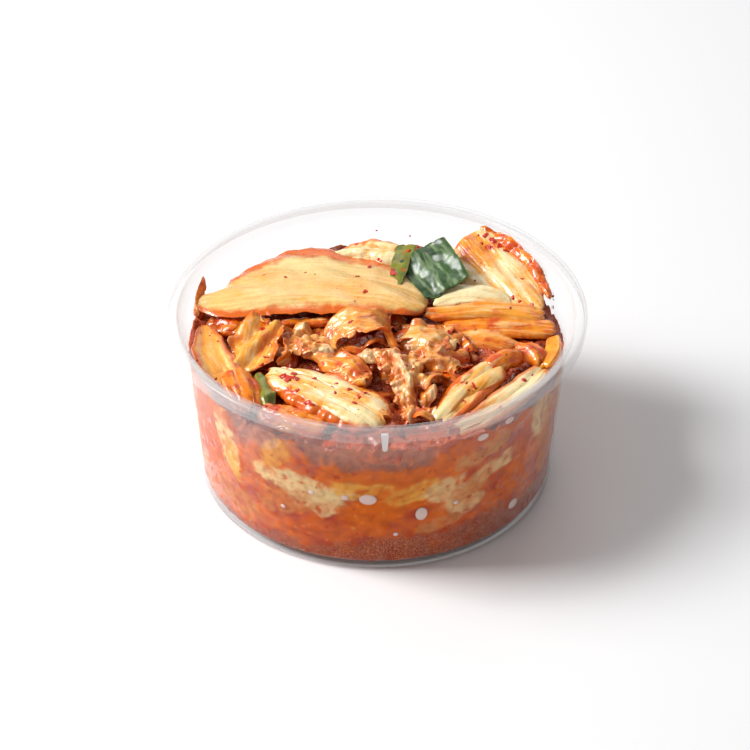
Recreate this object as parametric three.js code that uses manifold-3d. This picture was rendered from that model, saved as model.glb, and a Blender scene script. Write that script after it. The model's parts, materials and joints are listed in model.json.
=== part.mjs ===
// Kimchi in a round translucent takeaway tub: napa cabbage leaves and stalks, two pieces of scallion
// leaf and a carrot strip, lying on a packed bed of kimchi in a thin-walled tub with a hollow rim.
// Millimetres, +Z up. The origin is on the tub's axis, on the surface that the tub stands on.

import * as THREE from "three";
import { mergeVertices } from "three/addons/utils/BufferGeometryUtils.js";
import Module from "manifold-3d";

// ---- driving dimensions ----
const RIM_RADIUS = 59;
const TUB_HEIGHT = 53.8;
const SKIRT_HEIGHT = 3.9; // the rim's outer skirt, which a lid snaps over
const RIM_WIDTH = 3.4; // across the rim's flat top
const WALL = 0.7;
const FLOOR = 0.8;
const FOOT_HEIGHT = 1.4; // the floor stands this high inside the foot ring
const FOOT_RADIUS = 49.2;
const FOOT_WIDTH = 2.0;
const WALL_RADIUS_LOW = 50.3; // outside of the wall just above the foot
const WALL_RADIUS_HIGH = 53.9; // outside of the wall just under the rim
const SHOULDER_RISE = 1.0; // the ledge inside the rim, where the wall steps out
const CORNER = 1.6; // inner fillet between wall and floor
const TUB_SEGMENTS = 52;

const CLEARANCE = 0.3; // between any two pieces that touch
const BED_LEVEL = 41.5; // usual height of the packed kimchi
const BED_RINGS = 11;
const BED_SEGMENTS = 48;
const BED_STEP = 3.2; // how far round a place the bed makes room for the pieces on it

const RIB = { turn: 2.2, width: 1.7, tip: 1.1, top: 0.7, drop: 2.0, proud: 0.3, depth: 0.9 };

const wallFoot = FOOT_HEIGHT + FLOOR;
const skirtBottom = TUB_HEIGHT - SKIRT_HEIGHT;
const ledge = skirtBottom - SHOULDER_RISE;

// ---- colours ----
const finish = (color, roughness, extra = {}) =>
  new THREE.MeshStandardMaterial({ color, roughness, metalness: 0, ...extra });
const FINISHES = {
  polypropylene: finish(0xf1ece6, 0.3, { transparent: true, opacity: 0.35 }),
  bed: finish(0xb8431a, 0.35),
  pale: finish(0xeac98a, 0.3),
  white: finish(0xf2e3bd, 0.3),
  stained: finish(0xdd8a35, 0.3),
  ruffled: finish(0xc98a5c, 0.35),
  green: finish(0x4c6a3a, 0.3),
  olive: finish(0x8a8f2c, 0.35),
  carrot: finish(0xf09a1c, 0.35),
};

// ---- the leaves, stalks and stems, lowest first ----
// Each is a sheet along a line of stations [x, y, z, width to one side, width to the other]. "side" is
// the direction of the second width, "thick" is [edge, middle], and "dome" lifts the middle of the sheet.
const PIECES = [
  {
    name: "stem_front_lip", finish: "pale", side: [0.4, 0.9, 0.1], thick: [1.6, 3.2], dome: 0.6,
    stations: [[-30, -34, 42, 2, 2.5], [-23, -38, 42.3, 3.4, 3.4], [-15, -42, 41.5, 2.4, 2.4]],
  },
  {
    name: "leaf_olive", finish: "olive", side: [0.95, 0.2, 0.3], thick: [0.8, 1.2], dome: 0.5,
    stations: [[-32.5, -19, 43.6, 1.8, 1.8], [-31.5, -26, 43.6, 2.6, 2.4], [-29, -33, 42.2, 1.8, 1.8]],
  },
  {
    name: "stem_left_yellow", finish: "stained", side: [0.9, 0.4, -0.1], thick: [1.6, 4.2], dome: 1,
    stations: [[-38, -19, 43.4, 2.6, 3], [-37, -26, 43.6, 3.6, 3.8], [-34.5, -32, 41.8, 3, 3]],
  },
  {
    name: "leaf_pale_right", finish: "white", side: [0.2, 0.95, 0.2], thick: [0.9, 1.8], dome: 1,
    stations: [[24, 3, 42, 1.6, 1.6], [31, 0.5, 42.6, 3.2, 3], [39.5, -1.5, 42, 2, 2]],
  },
  {
    name: "stalk_right_lower", finish: "stained", side: [0, 0.98, 0.2], thick: [1.6, 4], dome: 1.2,
    stations: [[20, 6, 43.4, 2, 2], [34, 4, 44.2, 3.2, 3.2], [49, 3.5, 43.6, 3.6, 3]],
  },
  {
    name: "stalk_right_upper", finish: "stained", side: [0, 0.97, 0.25], thick: [1.4, 3.2], dome: 1,
    stations: [[14.5, 9.5, 45, 2, 2], [30, 9.5, 46.2, 2.8, 2.6], [46.5, 8, 45, 2.6, 2.4]],
  },
  {
    name: "stem_white_back", finish: "white", side: [0, 0.97, 0.24], thick: [1.4, 2.8], dome: 0.8,
    stations: [
      [17.5, 15, 45, 2.4, 2.6], [24, 15.6, 46.2, 3, 4],
      [32, 14.5, 46, 2.4, 3.6], [37.5, 13, 45.2, 1.8, 2],
    ],
  },
  {
    name: "leaf_fan", finish: "stained", side: [0.87, 0.45, 0.22], thick: [0.9, 2.2], dome: 1.2,
    stations: [
      [45.5, 10, 45.5, 5, 3.4], [39, 22, 47.6, 8.5, 6.6],
      [33, 32.5, 49.4, 9, 6.4], [28, 41, 51.2, 5, 4.6],
    ],
  },
  {
    name: "leaf_back_white", finish: "white", side: [0.1, 0.97, 0.2], thick: [0.9, 1.8], dome: 1.2,
    stations: [[-13, 36, 45, 3, 3], [-4, 37.5, 47.2, 5, 4.6], [4, 35.5, 47.8, 5, 4.6], [11, 32, 46.5, 3, 3]],
  },
  {
    name: "leaf_wide_pale", finish: "pale", side: [0, 1, -0.03], thick: [1, 2.6], dome: 2.6,
    stations: [
      [-49.2, 14.5, 44.6, 5, 4.5], [-42, 13.5, 45.8, 9, 8.5], [-31, 15.5, 46.8, 10.5, 18],
      [-20, 16.5, 47, 11, 24], [-8, 16, 47, 10.5, 20], [4, 14, 46.4, 9, 16], [13, 9, 45.2, 5.5, 8],
    ],
  },
  {
    name: "scallion_strip", finish: "olive", side: [0.93, -0.3, 0.2], thick: [0.9, 1.1], dome: 0.8,
    stations: [[8.5, 22, 48.6, 2.4, 2.4], [8.2, 29, 49.8, 3, 3], [8.8, 36.5, 50.6, 3.2, 3.2]],
  },
  {
    name: "scallion_square", finish: "green", side: [0.88, 0.36, 0.3],
    thick: [1, 1.3], dome: 1.6, blunt: true,
    stations: [[21.6, 16.4, 48, 6.6, 6.6], [18.6, 25, 49.8, 7.2, 7.2], [15.6, 33.6, 51, 7, 7]],
  },
  {
    name: "leaf_left_inner", finish: "pale", side: [0.9, -0.42, 0.1], thick: [1.2, 2.6], dome: 1.6,
    stations: [[-31, 1.5, 45.2, 3.6, 3.6], [-34, -6, 45.2, 5.4, 5.2], [-36, -15, 43.8, 4.4, 5]],
  },
  {
    name: "stalk_left_wall", finish: "pale", side: [0.88, 0.44, 0.2], thick: [1.6, 3.6], dome: 1.2,
    stations: [
      [-48.6, 4, 44.6, 2, 2], [-46.8, -7, 45, 4.4, 4],
      [-43.2, -17, 44.6, 5, 4.6], [-38.6, -27, 42.4, 4, 4],
    ],
  },
  {
    name: "leaf_ruffled_left", finish: "ruffled", side: [0.25, -0.95, 0.1], thick: [1.2, 1.8], dome: 1.4,
    stations: [[-27, -7, 43.2, 4.6, 4.6], [-19.5, -6, 45, 6.6, 6.4], [-13, -8.5, 44, 5, 5]],
  },
  {
    name: "leaf_membrane", finish: "ruffled", side: [0.3, -0.95, -0.1], thick: [1, 1.4], dome: 1.4,
    stations: [[8, -2.5, 43.6, 4.2, 4.6], [14, -3.6, 45.8, 5.2, 5.8], [21, -5.5, 44, 4, 4.6]],
  },
  {
    name: "leaf_folded", finish: "ruffled", side: [0.35, -0.85, -0.4], thick: [1.2, 1.6], dome: 1.2,
    stations: [[9.5, -13.5, 44, 3.2, 5], [15, -14.5, 46, 3.4, 6.4], [21, -17.5, 43.8, 3, 5.6]],
  },
  {
    name: "stem_front", finish: "white", side: [0.55, 0.83, 0.05], thick: [2.2, 5.2], dome: 1.4,
    stations: [
      [-28, -20, 43, 3.6, 3], [-18.5, -25.5, 43.8, 7.6, 6.6],
      [-8, -32.5, 43.8, 8.6, 7.6], [1, -38.5, 42.2, 6.6, 6],
    ],
  },
  {
    name: "leaf_yellow_front", finish: "stained", side: [0.75, 0.6, 0.3], thick: [1.1, 1.6], dome: 1,
    stations: [[-14.5, -16, 45.8, 2.6, 2.6], [-8, -19, 47, 3.4, 3.4], [-3, -25.5, 46.8, 3.2, 3.2]],
  },
  {
    name: "leaf_frilly", finish: "ruffled", side: [0.85, 0.5, 0.15], thick: [1.2, 1.8], dome: 1.2,
    stations: [
      [-4, -13, 46, 3, 3], [4, -17, 47.2, 4, 3.6],
      [9.5, -26, 45.4, 4.4, 4], [11, -38, 42.8, 5.4, 5],
    ],
  },
  {
    name: "leaf_curl", finish: "ruffled", side: [0.35, -0.93, -0.1],
    thick: [1.1, 1.6], dome: 0.4, open: true,
    stations: [
      [-12.5, -6, 40.5, 3.4, 3.4], [-11.5, -2, 47.5, 4, 4],
      [-6, -1, 50.8, 4.4, 4.4], [1.5, -3, 49.8, 4.8, 4.8],
      [5.8, -7, 42.5, 4.6, 4.6],
    ],
  },
  {
    name: "stalk_right_lip", finish: "white", side: [-0.62, 0.78, 0.1], thick: [1.8, 3.8], dome: 1,
    stations: [
      [21.5, -42.5, 41.4, 3, 3], [31, -34.5, 42.8, 3.8, 3.8],
      [40.5, -25, 43.8, 3.4, 3.6], [46.6, -16, 44, 2.2, 2.4],
    ],
  },
  {
    name: "stalk_front_right", finish: "pale", side: [-0.72, 0.68, 0.1], thick: [1.8, 4], dome: 1.2,
    stations: [[19.5, -35.5, 42.6, 3.8, 3.4], [24.5, -28.5, 44.2, 5.2, 5], [30.5, -20.5, 45, 5, 4.6]],
  },
  {
    name: "leaf_roll", finish: "stained", side: [-0.6, 0.78, 0.15], thick: [3, 5.4], dome: 0.8,
    stations: [[31.6, -18.5, 46, 3.4, 3], [35.6, -15.4, 46.8, 4.2, 3.8], [40, -13, 45.8, 3.4, 3]],
  },
  {
    name: "leaf_knob", finish: "pale", side: [0.6, 0.75, 0.2], thick: [1.6, 3.2], dome: 1,
    stations: [[40, -9.5, 45, 2.2, 2.4], [43, -11.5, 46.2, 3, 3], [44.6, -15, 45, 2, 2.2]],
  },
  {
    name: "carrot_strip", finish: "carrot", side: [0.85, -0.3, 0.42],
    thick: [1.6, 2], dome: 0.3, blunt: true,
    stations: [[46.6, -16.5, 45.2, 1.9, 1.9], [49, -11, 46, 2.2, 2.2], [49.8, -5, 46, 1.9, 1.7]],
  },
];
const SHEET_LENGTHS = 8; // sections along a sheet
const SHEET_WIDTHS = 4; // points across it

// ---- solids ----
const wasm = await Module();
wasm.setup();

function solidOf(geometry) {
  const bare = geometry.index ? geometry.toNonIndexed() : geometry.clone();
  bare.deleteAttribute("normal");
  bare.deleteAttribute("uv");
  const merged = mergeVertices(bare, 1e-3);
  return new wasm.Manifold(
    new wasm.Mesh({
      numProp: 3,
      vertProperties: merged.attributes.position.array,
      triVerts: new Uint32Array(merged.index.array),
    }),
  );
}

function geometryOf(solid) {
  const { vertProperties, triVerts } = solid.getMesh();
  const geometry = new THREE.BufferGeometry();
  geometry.setAttribute("position", new THREE.BufferAttribute(vertProperties, 3));
  geometry.setIndex(new THREE.BufferAttribute(triVerts, 1));
  geometry.computeVertexNormals();
  return geometry;
}

// A body turned about +Z from a closed outline of [radius, height] points.
function turned(outline, segments) {
  const lathe = new THREE.LatheGeometry(outline.map(([r, z]) => new THREE.Vector2(r, z)), segments);
  return solidOf(lathe.rotateX(Math.PI / 2));
}

// Points on a quarter of a circle, from one end to the other.
function arc(centreRadius, centreHeight, radius, from, to, steps) {
  return Array.from({ length: steps + 1 }, (_, i) => {
    const angle = THREE.MathUtils.degToRad(from + ((to - from) * i) / steps);
    return [centreRadius + radius * Math.cos(angle), centreHeight + radius * Math.sin(angle)];
  });
}

// ---- the tub ----
const wallRadius = (z) =>
  WALL_RADIUS_LOW + ((WALL_RADIUS_HIGH - WALL_RADIUS_LOW) * (z - wallFoot)) / (ledge - wallFoot);
const innerRadius = (z) => wallRadius(z) - WALL;

function tubShell() {
  const rimInner = RIM_RADIUS - RIM_WIDTH;
  const fillet = wallFoot + CORNER;
  const outline = [
    [0, FOOT_HEIGHT],
    [FOOT_RADIUS - FOOT_WIDTH - 0.6, FOOT_HEIGHT],
    [FOOT_RADIUS - FOOT_WIDTH, 0],
    [FOOT_RADIUS, 0],
    [WALL_RADIUS_LOW - 0.2, 1],
    [WALL_RADIUS_LOW, wallFoot],
    [WALL_RADIUS_HIGH, ledge],
    [rimInner, ledge + SHOULDER_RISE],
    [rimInner + WALL, TUB_HEIGHT - WALL],
    [RIM_RADIUS - WALL, TUB_HEIGHT - WALL],
    [RIM_RADIUS - WALL, skirtBottom],
    [RIM_RADIUS, skirtBottom],
    ...arc(RIM_RADIUS - 0.6, TUB_HEIGHT - 0.6, 0.6, 0, 90, 2),
    [rimInner, TUB_HEIGHT],
    [rimInner - 0.4, TUB_HEIGHT - 0.5],
    [rimInner - WALL, ledge + SHOULDER_RISE + 0.5],
    [WALL_RADIUS_HIGH - WALL, ledge + 0.3],
    ...arc(innerRadius(fillet) - CORNER, fillet, CORNER, 0, -90, 3),
    [0, wallFoot],
  ];
  return turned(outline, TUB_SEGMENTS);
}

// A small moulded rib down the skirt, with a round tip below the skirt's edge.
function liftRib() {
  const outline = new THREE.Shape();
  const [top, bottom] = [TUB_HEIGHT - RIB.top, skirtBottom - RIB.drop + RIB.tip / 2];
  outline.moveTo(-RIB.width / 2, top);
  outline.lineTo(-RIB.tip / 2, bottom);
  outline.absarc(0, bottom, RIB.tip / 2, Math.PI, 2 * Math.PI, false);
  outline.lineTo(RIB.width / 2, top);
  const options = { depth: RIB.depth, bevelEnabled: false, curveSegments: 6 };
  const rib = new THREE.ExtrudeGeometry(outline, options);
  rib.rotateX(Math.PI / 2); // stands the outline up, its depth towards -Y
  rib.translate(0, -(RIM_RADIUS + RIB.proud - RIB.depth), 0);
  return solidOf(rib.rotateZ(THREE.MathUtils.degToRad(RIB.turn)));
}

// Everything inside the tub, a clearance short of its wall and floor.
function cavity(top) {
  const [low, high] = [wallFoot + CLEARANCE, top];
  const corner = low + CORNER;
  const inner = (z) => innerRadius(z) - CLEARANCE;
  const outline = [
    [0, low],
    ...arc(inner(corner) - CORNER, corner, CORNER, -90, 0, 3),
    [inner(high), high],
    [0, high],
  ];
  return turned(outline, TUB_SEGMENTS);
}

// ---- leaves and stalks ----
// The middle line, the two widths, and the frame across the sheet at a share u of its length.
function sheetFrame(piece, u) {
  const at = (pick) => new THREE.CatmullRomCurve3(piece.stations.map(pick)).getPoint(u);
  const centre = new THREE.CatmullRomCurve3(piece.stations.map(([x, y, z]) => new THREE.Vector3(x, y, z)));
  const widths = at(([, , , left, right]) => new THREE.Vector3(left, right, 0));
  const along = centre.getTangent(u);
  const side = new THREE.Vector3(...piece.side).normalize();
  side.addScaledVector(along, -side.dot(along)).normalize();
  const up = new THREE.Vector3().crossVectors(along, side);
  if (up.z < 0 && !piece.open) up.negate();
  return { centre: centre.getPoint(u), widths, side, up };
}

// How much of its width a sheet keeps at u: whole in the middle and round at both ends.
function endTaper(piece, u) {
  const power = piece.blunt ? 14 : 5;
  return Math.max(0.5, (1 - Math.abs(2 * u - 1) ** power) ** 0.5);
}

// A point of the sheet, v from -1 at one edge to 1 at the other: on its top for face 1, below for -1.
function sheetPoint(piece, u, v, face) {
  const { centre, widths, side, up } = sheetFrame(piece, u);
  const taper = endTaper(piece, u);
  const [edge, middle] = piece.thick;
  const thickness = (edge + (middle - edge) * (1 - v * v)) * Math.sqrt(taper);
  return centre
    .clone()
    .addScaledVector(side, v * taper * (v < 0 ? widths.x : widths.y))
    .addScaledVector(up, piece.dome * (1 - v * v) + (face * thickness) / 2);
}

function sheetSolid(piece, grow = 0) {
  const rings = [];
  for (let i = 0; i < SHEET_LENGTHS; i++) {
    const ring = [];
    for (const face of [1, -1]) {
      for (let j = 0; j < SHEET_WIDTHS; j++) {
        const v = face * (1 - (2 * j) / (SHEET_WIDTHS - 1));
        ring.push(sheetPoint(piece, i / (SHEET_LENGTHS - 1), v, face));
      }
    }
    rings.push(ring);
  }
  return closedLoft(rings, grow);
}

// A closed body through sections with the same number of points, whichever way round they run.
function closedLoft(rings, grow) {
  const size = rings[0].length;
  const index = [];
  for (let i = 0; i + 1 < rings.length; i++) {
    for (let j = 0; j < size; j++) {
      const [a, b] = [i * size + j, i * size + ((j + 1) % size)];
      index.push(a, b, b + size, a, b + size, a + size);
    }
  }
  const last = (rings.length - 1) * size;
  for (let j = 1; j + 1 < size; j++) index.push(0, j + 1, j, last, last + j, last + j + 1);
  const points = rings.flat();
  if (signedVolume(points, index) < 0) index.reverse();
  const geometry = new THREE.BufferGeometry();
  const moved = grow ? inflated(points, index, grow) : points;
  geometry.setAttribute("position", new THREE.Float32BufferAttribute(moved.flatMap((p) => p.toArray()), 3));
  geometry.setIndex(index);
  return solidOf(geometry);
}

// Calls back with the three corner numbers of each triangle.
function eachTriangle(index, visit) {
  for (let i = 0; i < index.length; i += 3) visit(index[i], index[i + 1], index[i + 2]);
}

function signedVolume(points, index) {
  let volume = 0;
  const across = new THREE.Vector3();
  eachTriangle(index, (a, b, c) => {
    volume += points[a].dot(across.crossVectors(points[b], points[c])) / 6;
  });
  return volume;
}

// The points of a closed body with each of its faces moved outwards by a distance.
function inflated(points, index, distance) {
  const normals = points.map(() => []);
  eachTriangle(index, (a, b, c) => {
    const normal = new THREE.Triangle(points[a], points[b], points[c]).getNormal(new THREE.Vector3());
    [a, b, c].forEach((corner) => normals[corner].push(normal));
  });
  return points.map((point, i) => {
    const outwards = new THREE.Vector3();
    normals[i].forEach((normal) => outwards.add(normal));
    outwards.normalize();
    const least = Math.min(...normals[i].map((normal) => normal.dot(outwards)));
    return point.clone().addScaledVector(outwards, distance / Math.max(least, 0.3));
  });
}

// The largest body of a cut solid, without the slivers that a cut leaves beside it.
function largest(solid) {
  const bodies = solid.simplify(CLEARANCE / 3).decompose();
  return bodies.reduce((best, body) => (body.volume() > best.volume() ? body : best));
}

// ---- the packed bed ----
// Its height at a place: just under the lowest piece that lies there, and uneven in between.
function bedHeight(x, y, undersides) {
  const waves = Math.sin(x / 5.3 + y / 9) + 0.8 * Math.sin(y / 4.6 - x / 11)
    + 0.6 * Math.cos(x / 3.1 + y / 3.7);
  const slope = 1.2 * Math.min(1, Math.max(-1, y / 30));
  const near = undersides.filter((point) => Math.hypot(point.x - x, point.y - y) < BED_STEP);
  return near.length ? Math.min(...near.map(({ z }) => z)) - CLEARANCE : BED_LEVEL + slope + 0.5 * waves;
}

function bedSolid() {
  const undersides = [];
  for (const piece of PIECES.filter(({ open }) => !open)) {
    for (let u = 0; u <= 1; u += 0.05) {
      for (let v = -1; v <= 1; v += 0.25) undersides.push(sheetPoint(piece, u, v, -1));
    }
  }
  const positions = [];
  const low = wallFoot + CLEARANCE;
  const reach = RIM_RADIUS - RIM_WIDTH; // past the wall, so that the cavity trims the outside
  const top = (i, j) => {
    const [r, angle] = [(reach * i) / BED_RINGS, (2 * Math.PI * j) / BED_SEGMENTS];
    const [x, y] = [r * Math.sin(angle), -r * Math.cos(angle)];
    return [x, y, bedHeight(x, y, undersides)];
  };
  const quad = (a, b, c, d) => positions.push(...a, ...b, ...c, ...a, ...c, ...d);
  const floorOf = ([x, y]) => [x, y, low];
  for (let j = 0; j < BED_SEGMENTS; j++) {
    for (let i = 0; i < BED_RINGS; i++) {
      const next = (j + 1) % BED_SEGMENTS;
      const [a, b, c, d] = [top(i, j), top(i + 1, j), top(i + 1, next), top(i, next)];
      if (i === 0) {
        positions.push(...a, ...b, ...c, ...floorOf(a), ...floorOf(c), ...floorOf(b));
      } else {
        quad(a, b, c, d);
        quad(floorOf(d), floorOf(c), floorOf(b), floorOf(a));
      }
    }
    const [a, b] = [top(BED_RINGS, j), top(BED_RINGS, (j + 1) % BED_SEGMENTS)];
    quad(floorOf(a), floorOf(b), b, a);
  }
  const geometry = new THREE.BufferGeometry();
  geometry.setAttribute("position", new THREE.Float32BufferAttribute(positions, 3));
  return solidOf(geometry);
}

// ---- assembly ----
const group = new THREE.Group();

function add(name, solid, finishName) {
  const mesh = new THREE.Mesh(geometryOf(solid), FINISHES[finishName]);
  mesh.name = name;
  group.add(mesh);
}

const inside = cavity(skirtBottom);
const grown = PIECES.map((piece) => sheetSolid(piece, CLEARANCE).add(sheetSolid(piece)));

add("tub", tubShell().add(liftRib()), "polypropylene");

let bed = bedSolid().intersect(inside);
for (const piece of grown) bed = bed.subtract(piece);
add("kimchi_bed", largest(bed), "bed");

PIECES.forEach((piece, i) => {
  let solid = sheetSolid(piece);
  for (const above of grown.slice(i + 1)) solid = solid.subtract(above);
  add(piece.name, largest(solid), piece.finish);
});

export default group;
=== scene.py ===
# %% [markdown]
# # Kimchi in a round translucent tub
# A helping of napa cabbage kimchi fills a thin plastic takeaway tub. The tub is one turned shell. The
# packed kimchi inside is one body whose outside is pressed flat against the wall, and the leaves, stalks
# and scraps that can be told apart lie on top of it as thin crumpled sheets. Chili flakes and pepper are
# scattered over them. All shapes below are worked out in millimetres.

# %% The frame and the object's box
import itertools
import json
import math

import bmesh
import bpy
import numpy as np
from mathutils import Vector
from mathutils.bvhtree import BVHTree
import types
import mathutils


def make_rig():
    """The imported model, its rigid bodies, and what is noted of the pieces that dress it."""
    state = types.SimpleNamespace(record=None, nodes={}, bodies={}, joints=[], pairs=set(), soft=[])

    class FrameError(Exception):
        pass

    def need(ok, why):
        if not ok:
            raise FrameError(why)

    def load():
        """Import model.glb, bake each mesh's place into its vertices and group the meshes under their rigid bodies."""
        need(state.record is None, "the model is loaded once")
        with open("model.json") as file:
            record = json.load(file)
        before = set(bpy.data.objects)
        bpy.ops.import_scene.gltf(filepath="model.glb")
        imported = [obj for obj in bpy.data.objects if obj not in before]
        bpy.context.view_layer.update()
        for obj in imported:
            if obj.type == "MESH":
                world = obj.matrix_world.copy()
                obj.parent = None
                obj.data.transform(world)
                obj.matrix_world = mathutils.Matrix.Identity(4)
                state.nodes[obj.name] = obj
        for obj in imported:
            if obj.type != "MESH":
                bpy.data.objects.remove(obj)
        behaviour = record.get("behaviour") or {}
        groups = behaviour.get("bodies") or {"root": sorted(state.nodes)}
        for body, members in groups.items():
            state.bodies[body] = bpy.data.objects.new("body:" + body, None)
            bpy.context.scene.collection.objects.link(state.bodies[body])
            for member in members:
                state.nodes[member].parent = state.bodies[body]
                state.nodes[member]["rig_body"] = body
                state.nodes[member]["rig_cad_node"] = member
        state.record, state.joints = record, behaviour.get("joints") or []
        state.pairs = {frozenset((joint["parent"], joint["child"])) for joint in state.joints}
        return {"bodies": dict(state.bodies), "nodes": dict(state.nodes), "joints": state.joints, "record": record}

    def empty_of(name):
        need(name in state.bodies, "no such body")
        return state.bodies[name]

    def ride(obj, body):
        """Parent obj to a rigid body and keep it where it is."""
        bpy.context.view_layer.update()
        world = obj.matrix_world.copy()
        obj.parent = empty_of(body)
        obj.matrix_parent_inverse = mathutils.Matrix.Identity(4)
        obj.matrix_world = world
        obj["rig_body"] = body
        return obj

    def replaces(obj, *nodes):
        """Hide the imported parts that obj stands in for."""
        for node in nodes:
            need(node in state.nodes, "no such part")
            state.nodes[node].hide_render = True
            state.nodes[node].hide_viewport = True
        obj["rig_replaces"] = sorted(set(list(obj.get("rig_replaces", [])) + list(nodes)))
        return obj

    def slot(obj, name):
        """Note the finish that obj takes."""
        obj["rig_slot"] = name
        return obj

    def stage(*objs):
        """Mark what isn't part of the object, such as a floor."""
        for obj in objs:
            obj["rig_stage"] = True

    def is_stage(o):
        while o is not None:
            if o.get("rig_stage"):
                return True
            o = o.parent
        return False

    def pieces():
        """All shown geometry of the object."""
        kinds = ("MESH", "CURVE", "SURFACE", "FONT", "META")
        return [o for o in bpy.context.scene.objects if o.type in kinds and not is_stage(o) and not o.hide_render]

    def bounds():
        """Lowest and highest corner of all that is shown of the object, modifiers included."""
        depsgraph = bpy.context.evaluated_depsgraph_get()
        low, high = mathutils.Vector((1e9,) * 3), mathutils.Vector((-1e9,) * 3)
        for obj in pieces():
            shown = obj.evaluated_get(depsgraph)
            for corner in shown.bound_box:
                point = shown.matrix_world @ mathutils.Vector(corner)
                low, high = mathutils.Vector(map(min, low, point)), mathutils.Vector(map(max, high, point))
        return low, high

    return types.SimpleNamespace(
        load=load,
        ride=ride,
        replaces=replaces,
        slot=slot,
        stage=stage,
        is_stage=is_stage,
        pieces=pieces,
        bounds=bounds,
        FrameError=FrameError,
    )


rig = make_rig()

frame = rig.load()
cad_box = [list(corner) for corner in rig.bounds()]
MM = 0.001
print("frame nodes:", len(frame["nodes"]), "box in mm:", [[round(x / MM, 1) for x in c] for c in cad_box])

# %% [markdown]
# The tub's main radii come first, because every piece inside is kept within its wall. The wall leans
# outwards from the foot to a ledge just under the rim.

# %% Sizes of the tub
RIM, HEIGHT, SKIRT, RIM_WIDTH = 59.0, 53.8, 3.9, 3.4
WALL, FLOOR, FOOT_HEIGHT = 0.7, 0.8, 1.4
FOOT_RADIUS, FOOT_WIDTH = 49.2, 2.0
LOW_RADIUS, HIGH_RADIUS = 50.3, 53.9
WALL_FOOT = FOOT_HEIGHT + FLOOR
SKIRT_BOTTOM = HEIGHT - SKIRT
LEDGE = SKIRT_BOTTOM - 1.0
MEAN_RADIUS = 52  # of the wall, which turns an angle into a distance round it


def inner_radius(z):
    """The radius of the wall's inside at a height."""
    share = (np.clip(z, WALL_FOOT, LEDGE) - WALL_FOOT) / (LEDGE - WALL_FOOT)
    return LOW_RADIUS + (HIGH_RADIUS - LOW_RADIUS) * share - WALL


print("inside radius at the floor and at the ledge:", inner_radius(WALL_FOOT), inner_radius(LEDGE))

# %% [markdown]
# Shader sums read best as plain expressions. A `Wire` holds one output of a node tree, and adding,
# subtracting or multiplying two of them adds the Math node. Its one method `node` makes any other node.
# The same class serves the Geometry Nodes trees further down.


# %% Node sums as expressions
class Wire:
    """An output socket of a node tree that sums and products can be written with."""

    def __init__(self, tree, socket=None):
        self.tree, self.socket = tree, socket

    def node(self, kind, settings=None, out=0, **values):
        """Adds a node: its settings first, then the values or links of its sockets, by name or _number."""
        made = self.tree.nodes.new(kind)
        for key, value in (settings or {}).items():
            setattr(made, key, value)
        for key, value in values.items():
            name = int(key[1:]) if key[0] == "_" else key.replace("_", " ")
            socket = made.inputs[name]
            if isinstance(value, Wire):
                self.tree.links.new(value.socket, socket)
            else:
                socket.default_value = value
        return Wire(self.tree, made.outputs[out] if len(made.outputs) else None)

    def output(self, which):
        """Another output of the same node."""
        return Wire(self.tree, self.socket.node.outputs[which])

    def math(self, operation, *values):
        sockets = {f"_{i}": value for i, value in enumerate(values)}
        return self.node("ShaderNodeMath", {"operation": operation}, **sockets)

    def __add__(self, other):
        return self.math("ADD", self, other)

    def __sub__(self, other):
        return self.math("SUBTRACT", self, other)

    def __rsub__(self, other):
        return self.math("SUBTRACT", other, self)

    def __mul__(self, other):
        return self.math("MULTIPLY", self, other)

    def __pow__(self, other):
        return self.math("POWER", self, other)

    __radd__, __rmul__ = __add__, __mul__

    def step(self, low, high):
        """0 below low, 1 above high, and smooth in between."""
        smooth = {"interpolation_type": "SMOOTHSTEP"}
        return self.node("ShaderNodeMapRange", smooth, Value=self, From_Min=low, From_Max=high)

    def mix(self, a, b):
        """Colour a where this is 0 and colour b where it is 1."""
        return self.node("ShaderNodeMix", {"data_type": "RGBA"}, out=2, _0=self, _6=a, _7=b)

    def noise(self, scale, detail=3.0):
        return self.node("ShaderNodeTexNoise", Vector=self, Scale=scale, Detail=detail)

    def here(self):
        """The place on the object, in metres."""
        return self.node("ShaderNodeTexCoord", out=3)

    def carried(self, name, out=0):
        """What the mesh carries: its colour is output 0, a vector 1, a number 2 and the alpha 3."""
        return self.node("ShaderNodeAttribute", {"attribute_name": name}, out=out)

    def parts(self):
        """X, Y and Z of a vector."""
        apart = self.node("ShaderNodeSeparateXYZ", Vector=self)
        return [apart.output(k) for k in range(3)]

    def vector(self, operation, **values):
        return self.node("ShaderNodeVectorMath", {"operation": operation}, _0=self, **values)

    def bump(self, height, strength, distance):
        return self.node("ShaderNodeBump", Height=height, Strength=strength, Distance=distance)


def srgb(red, green, blue):
    """A colour given as 0 to 255 on a screen, in the linear values that a shader takes."""
    screen = (red, green, blue)
    return tuple(((c / 255 + 0.055) / 1.055) ** 2.4 if c > 10 else c / 3295 for c in screen) + (1,)


def new_material(name):
    """A material's tree as a Wire, with its Principled shader."""
    material = bpy.data.materials.new(name)
    material.use_nodes = True
    shader = material.node_tree.nodes["Principled BSDF"]
    return material, Wire(material.node_tree), shader


def feed(shader, **values):
    """Links or sets the shader's sockets by name."""
    for key, value in values.items():
        socket = shader.inputs[key.replace("_", " ")]
        if isinstance(value, Wire):
            value.tree.links.new(value.socket, socket)
        else:
            socket.default_value = value


print("node helpers ready")

# %% [markdown]
# Polypropylene is milky: it lets most light through, scatters some, and shines softly. A clear glass
# shader would look too hard and too clean. A thin grey-white skin that is mostly see-through gives the
# veil over the food. It thickens where the wall is seen edge on, and at the double wall of the rim and
# the solid ring of the foot.

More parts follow.
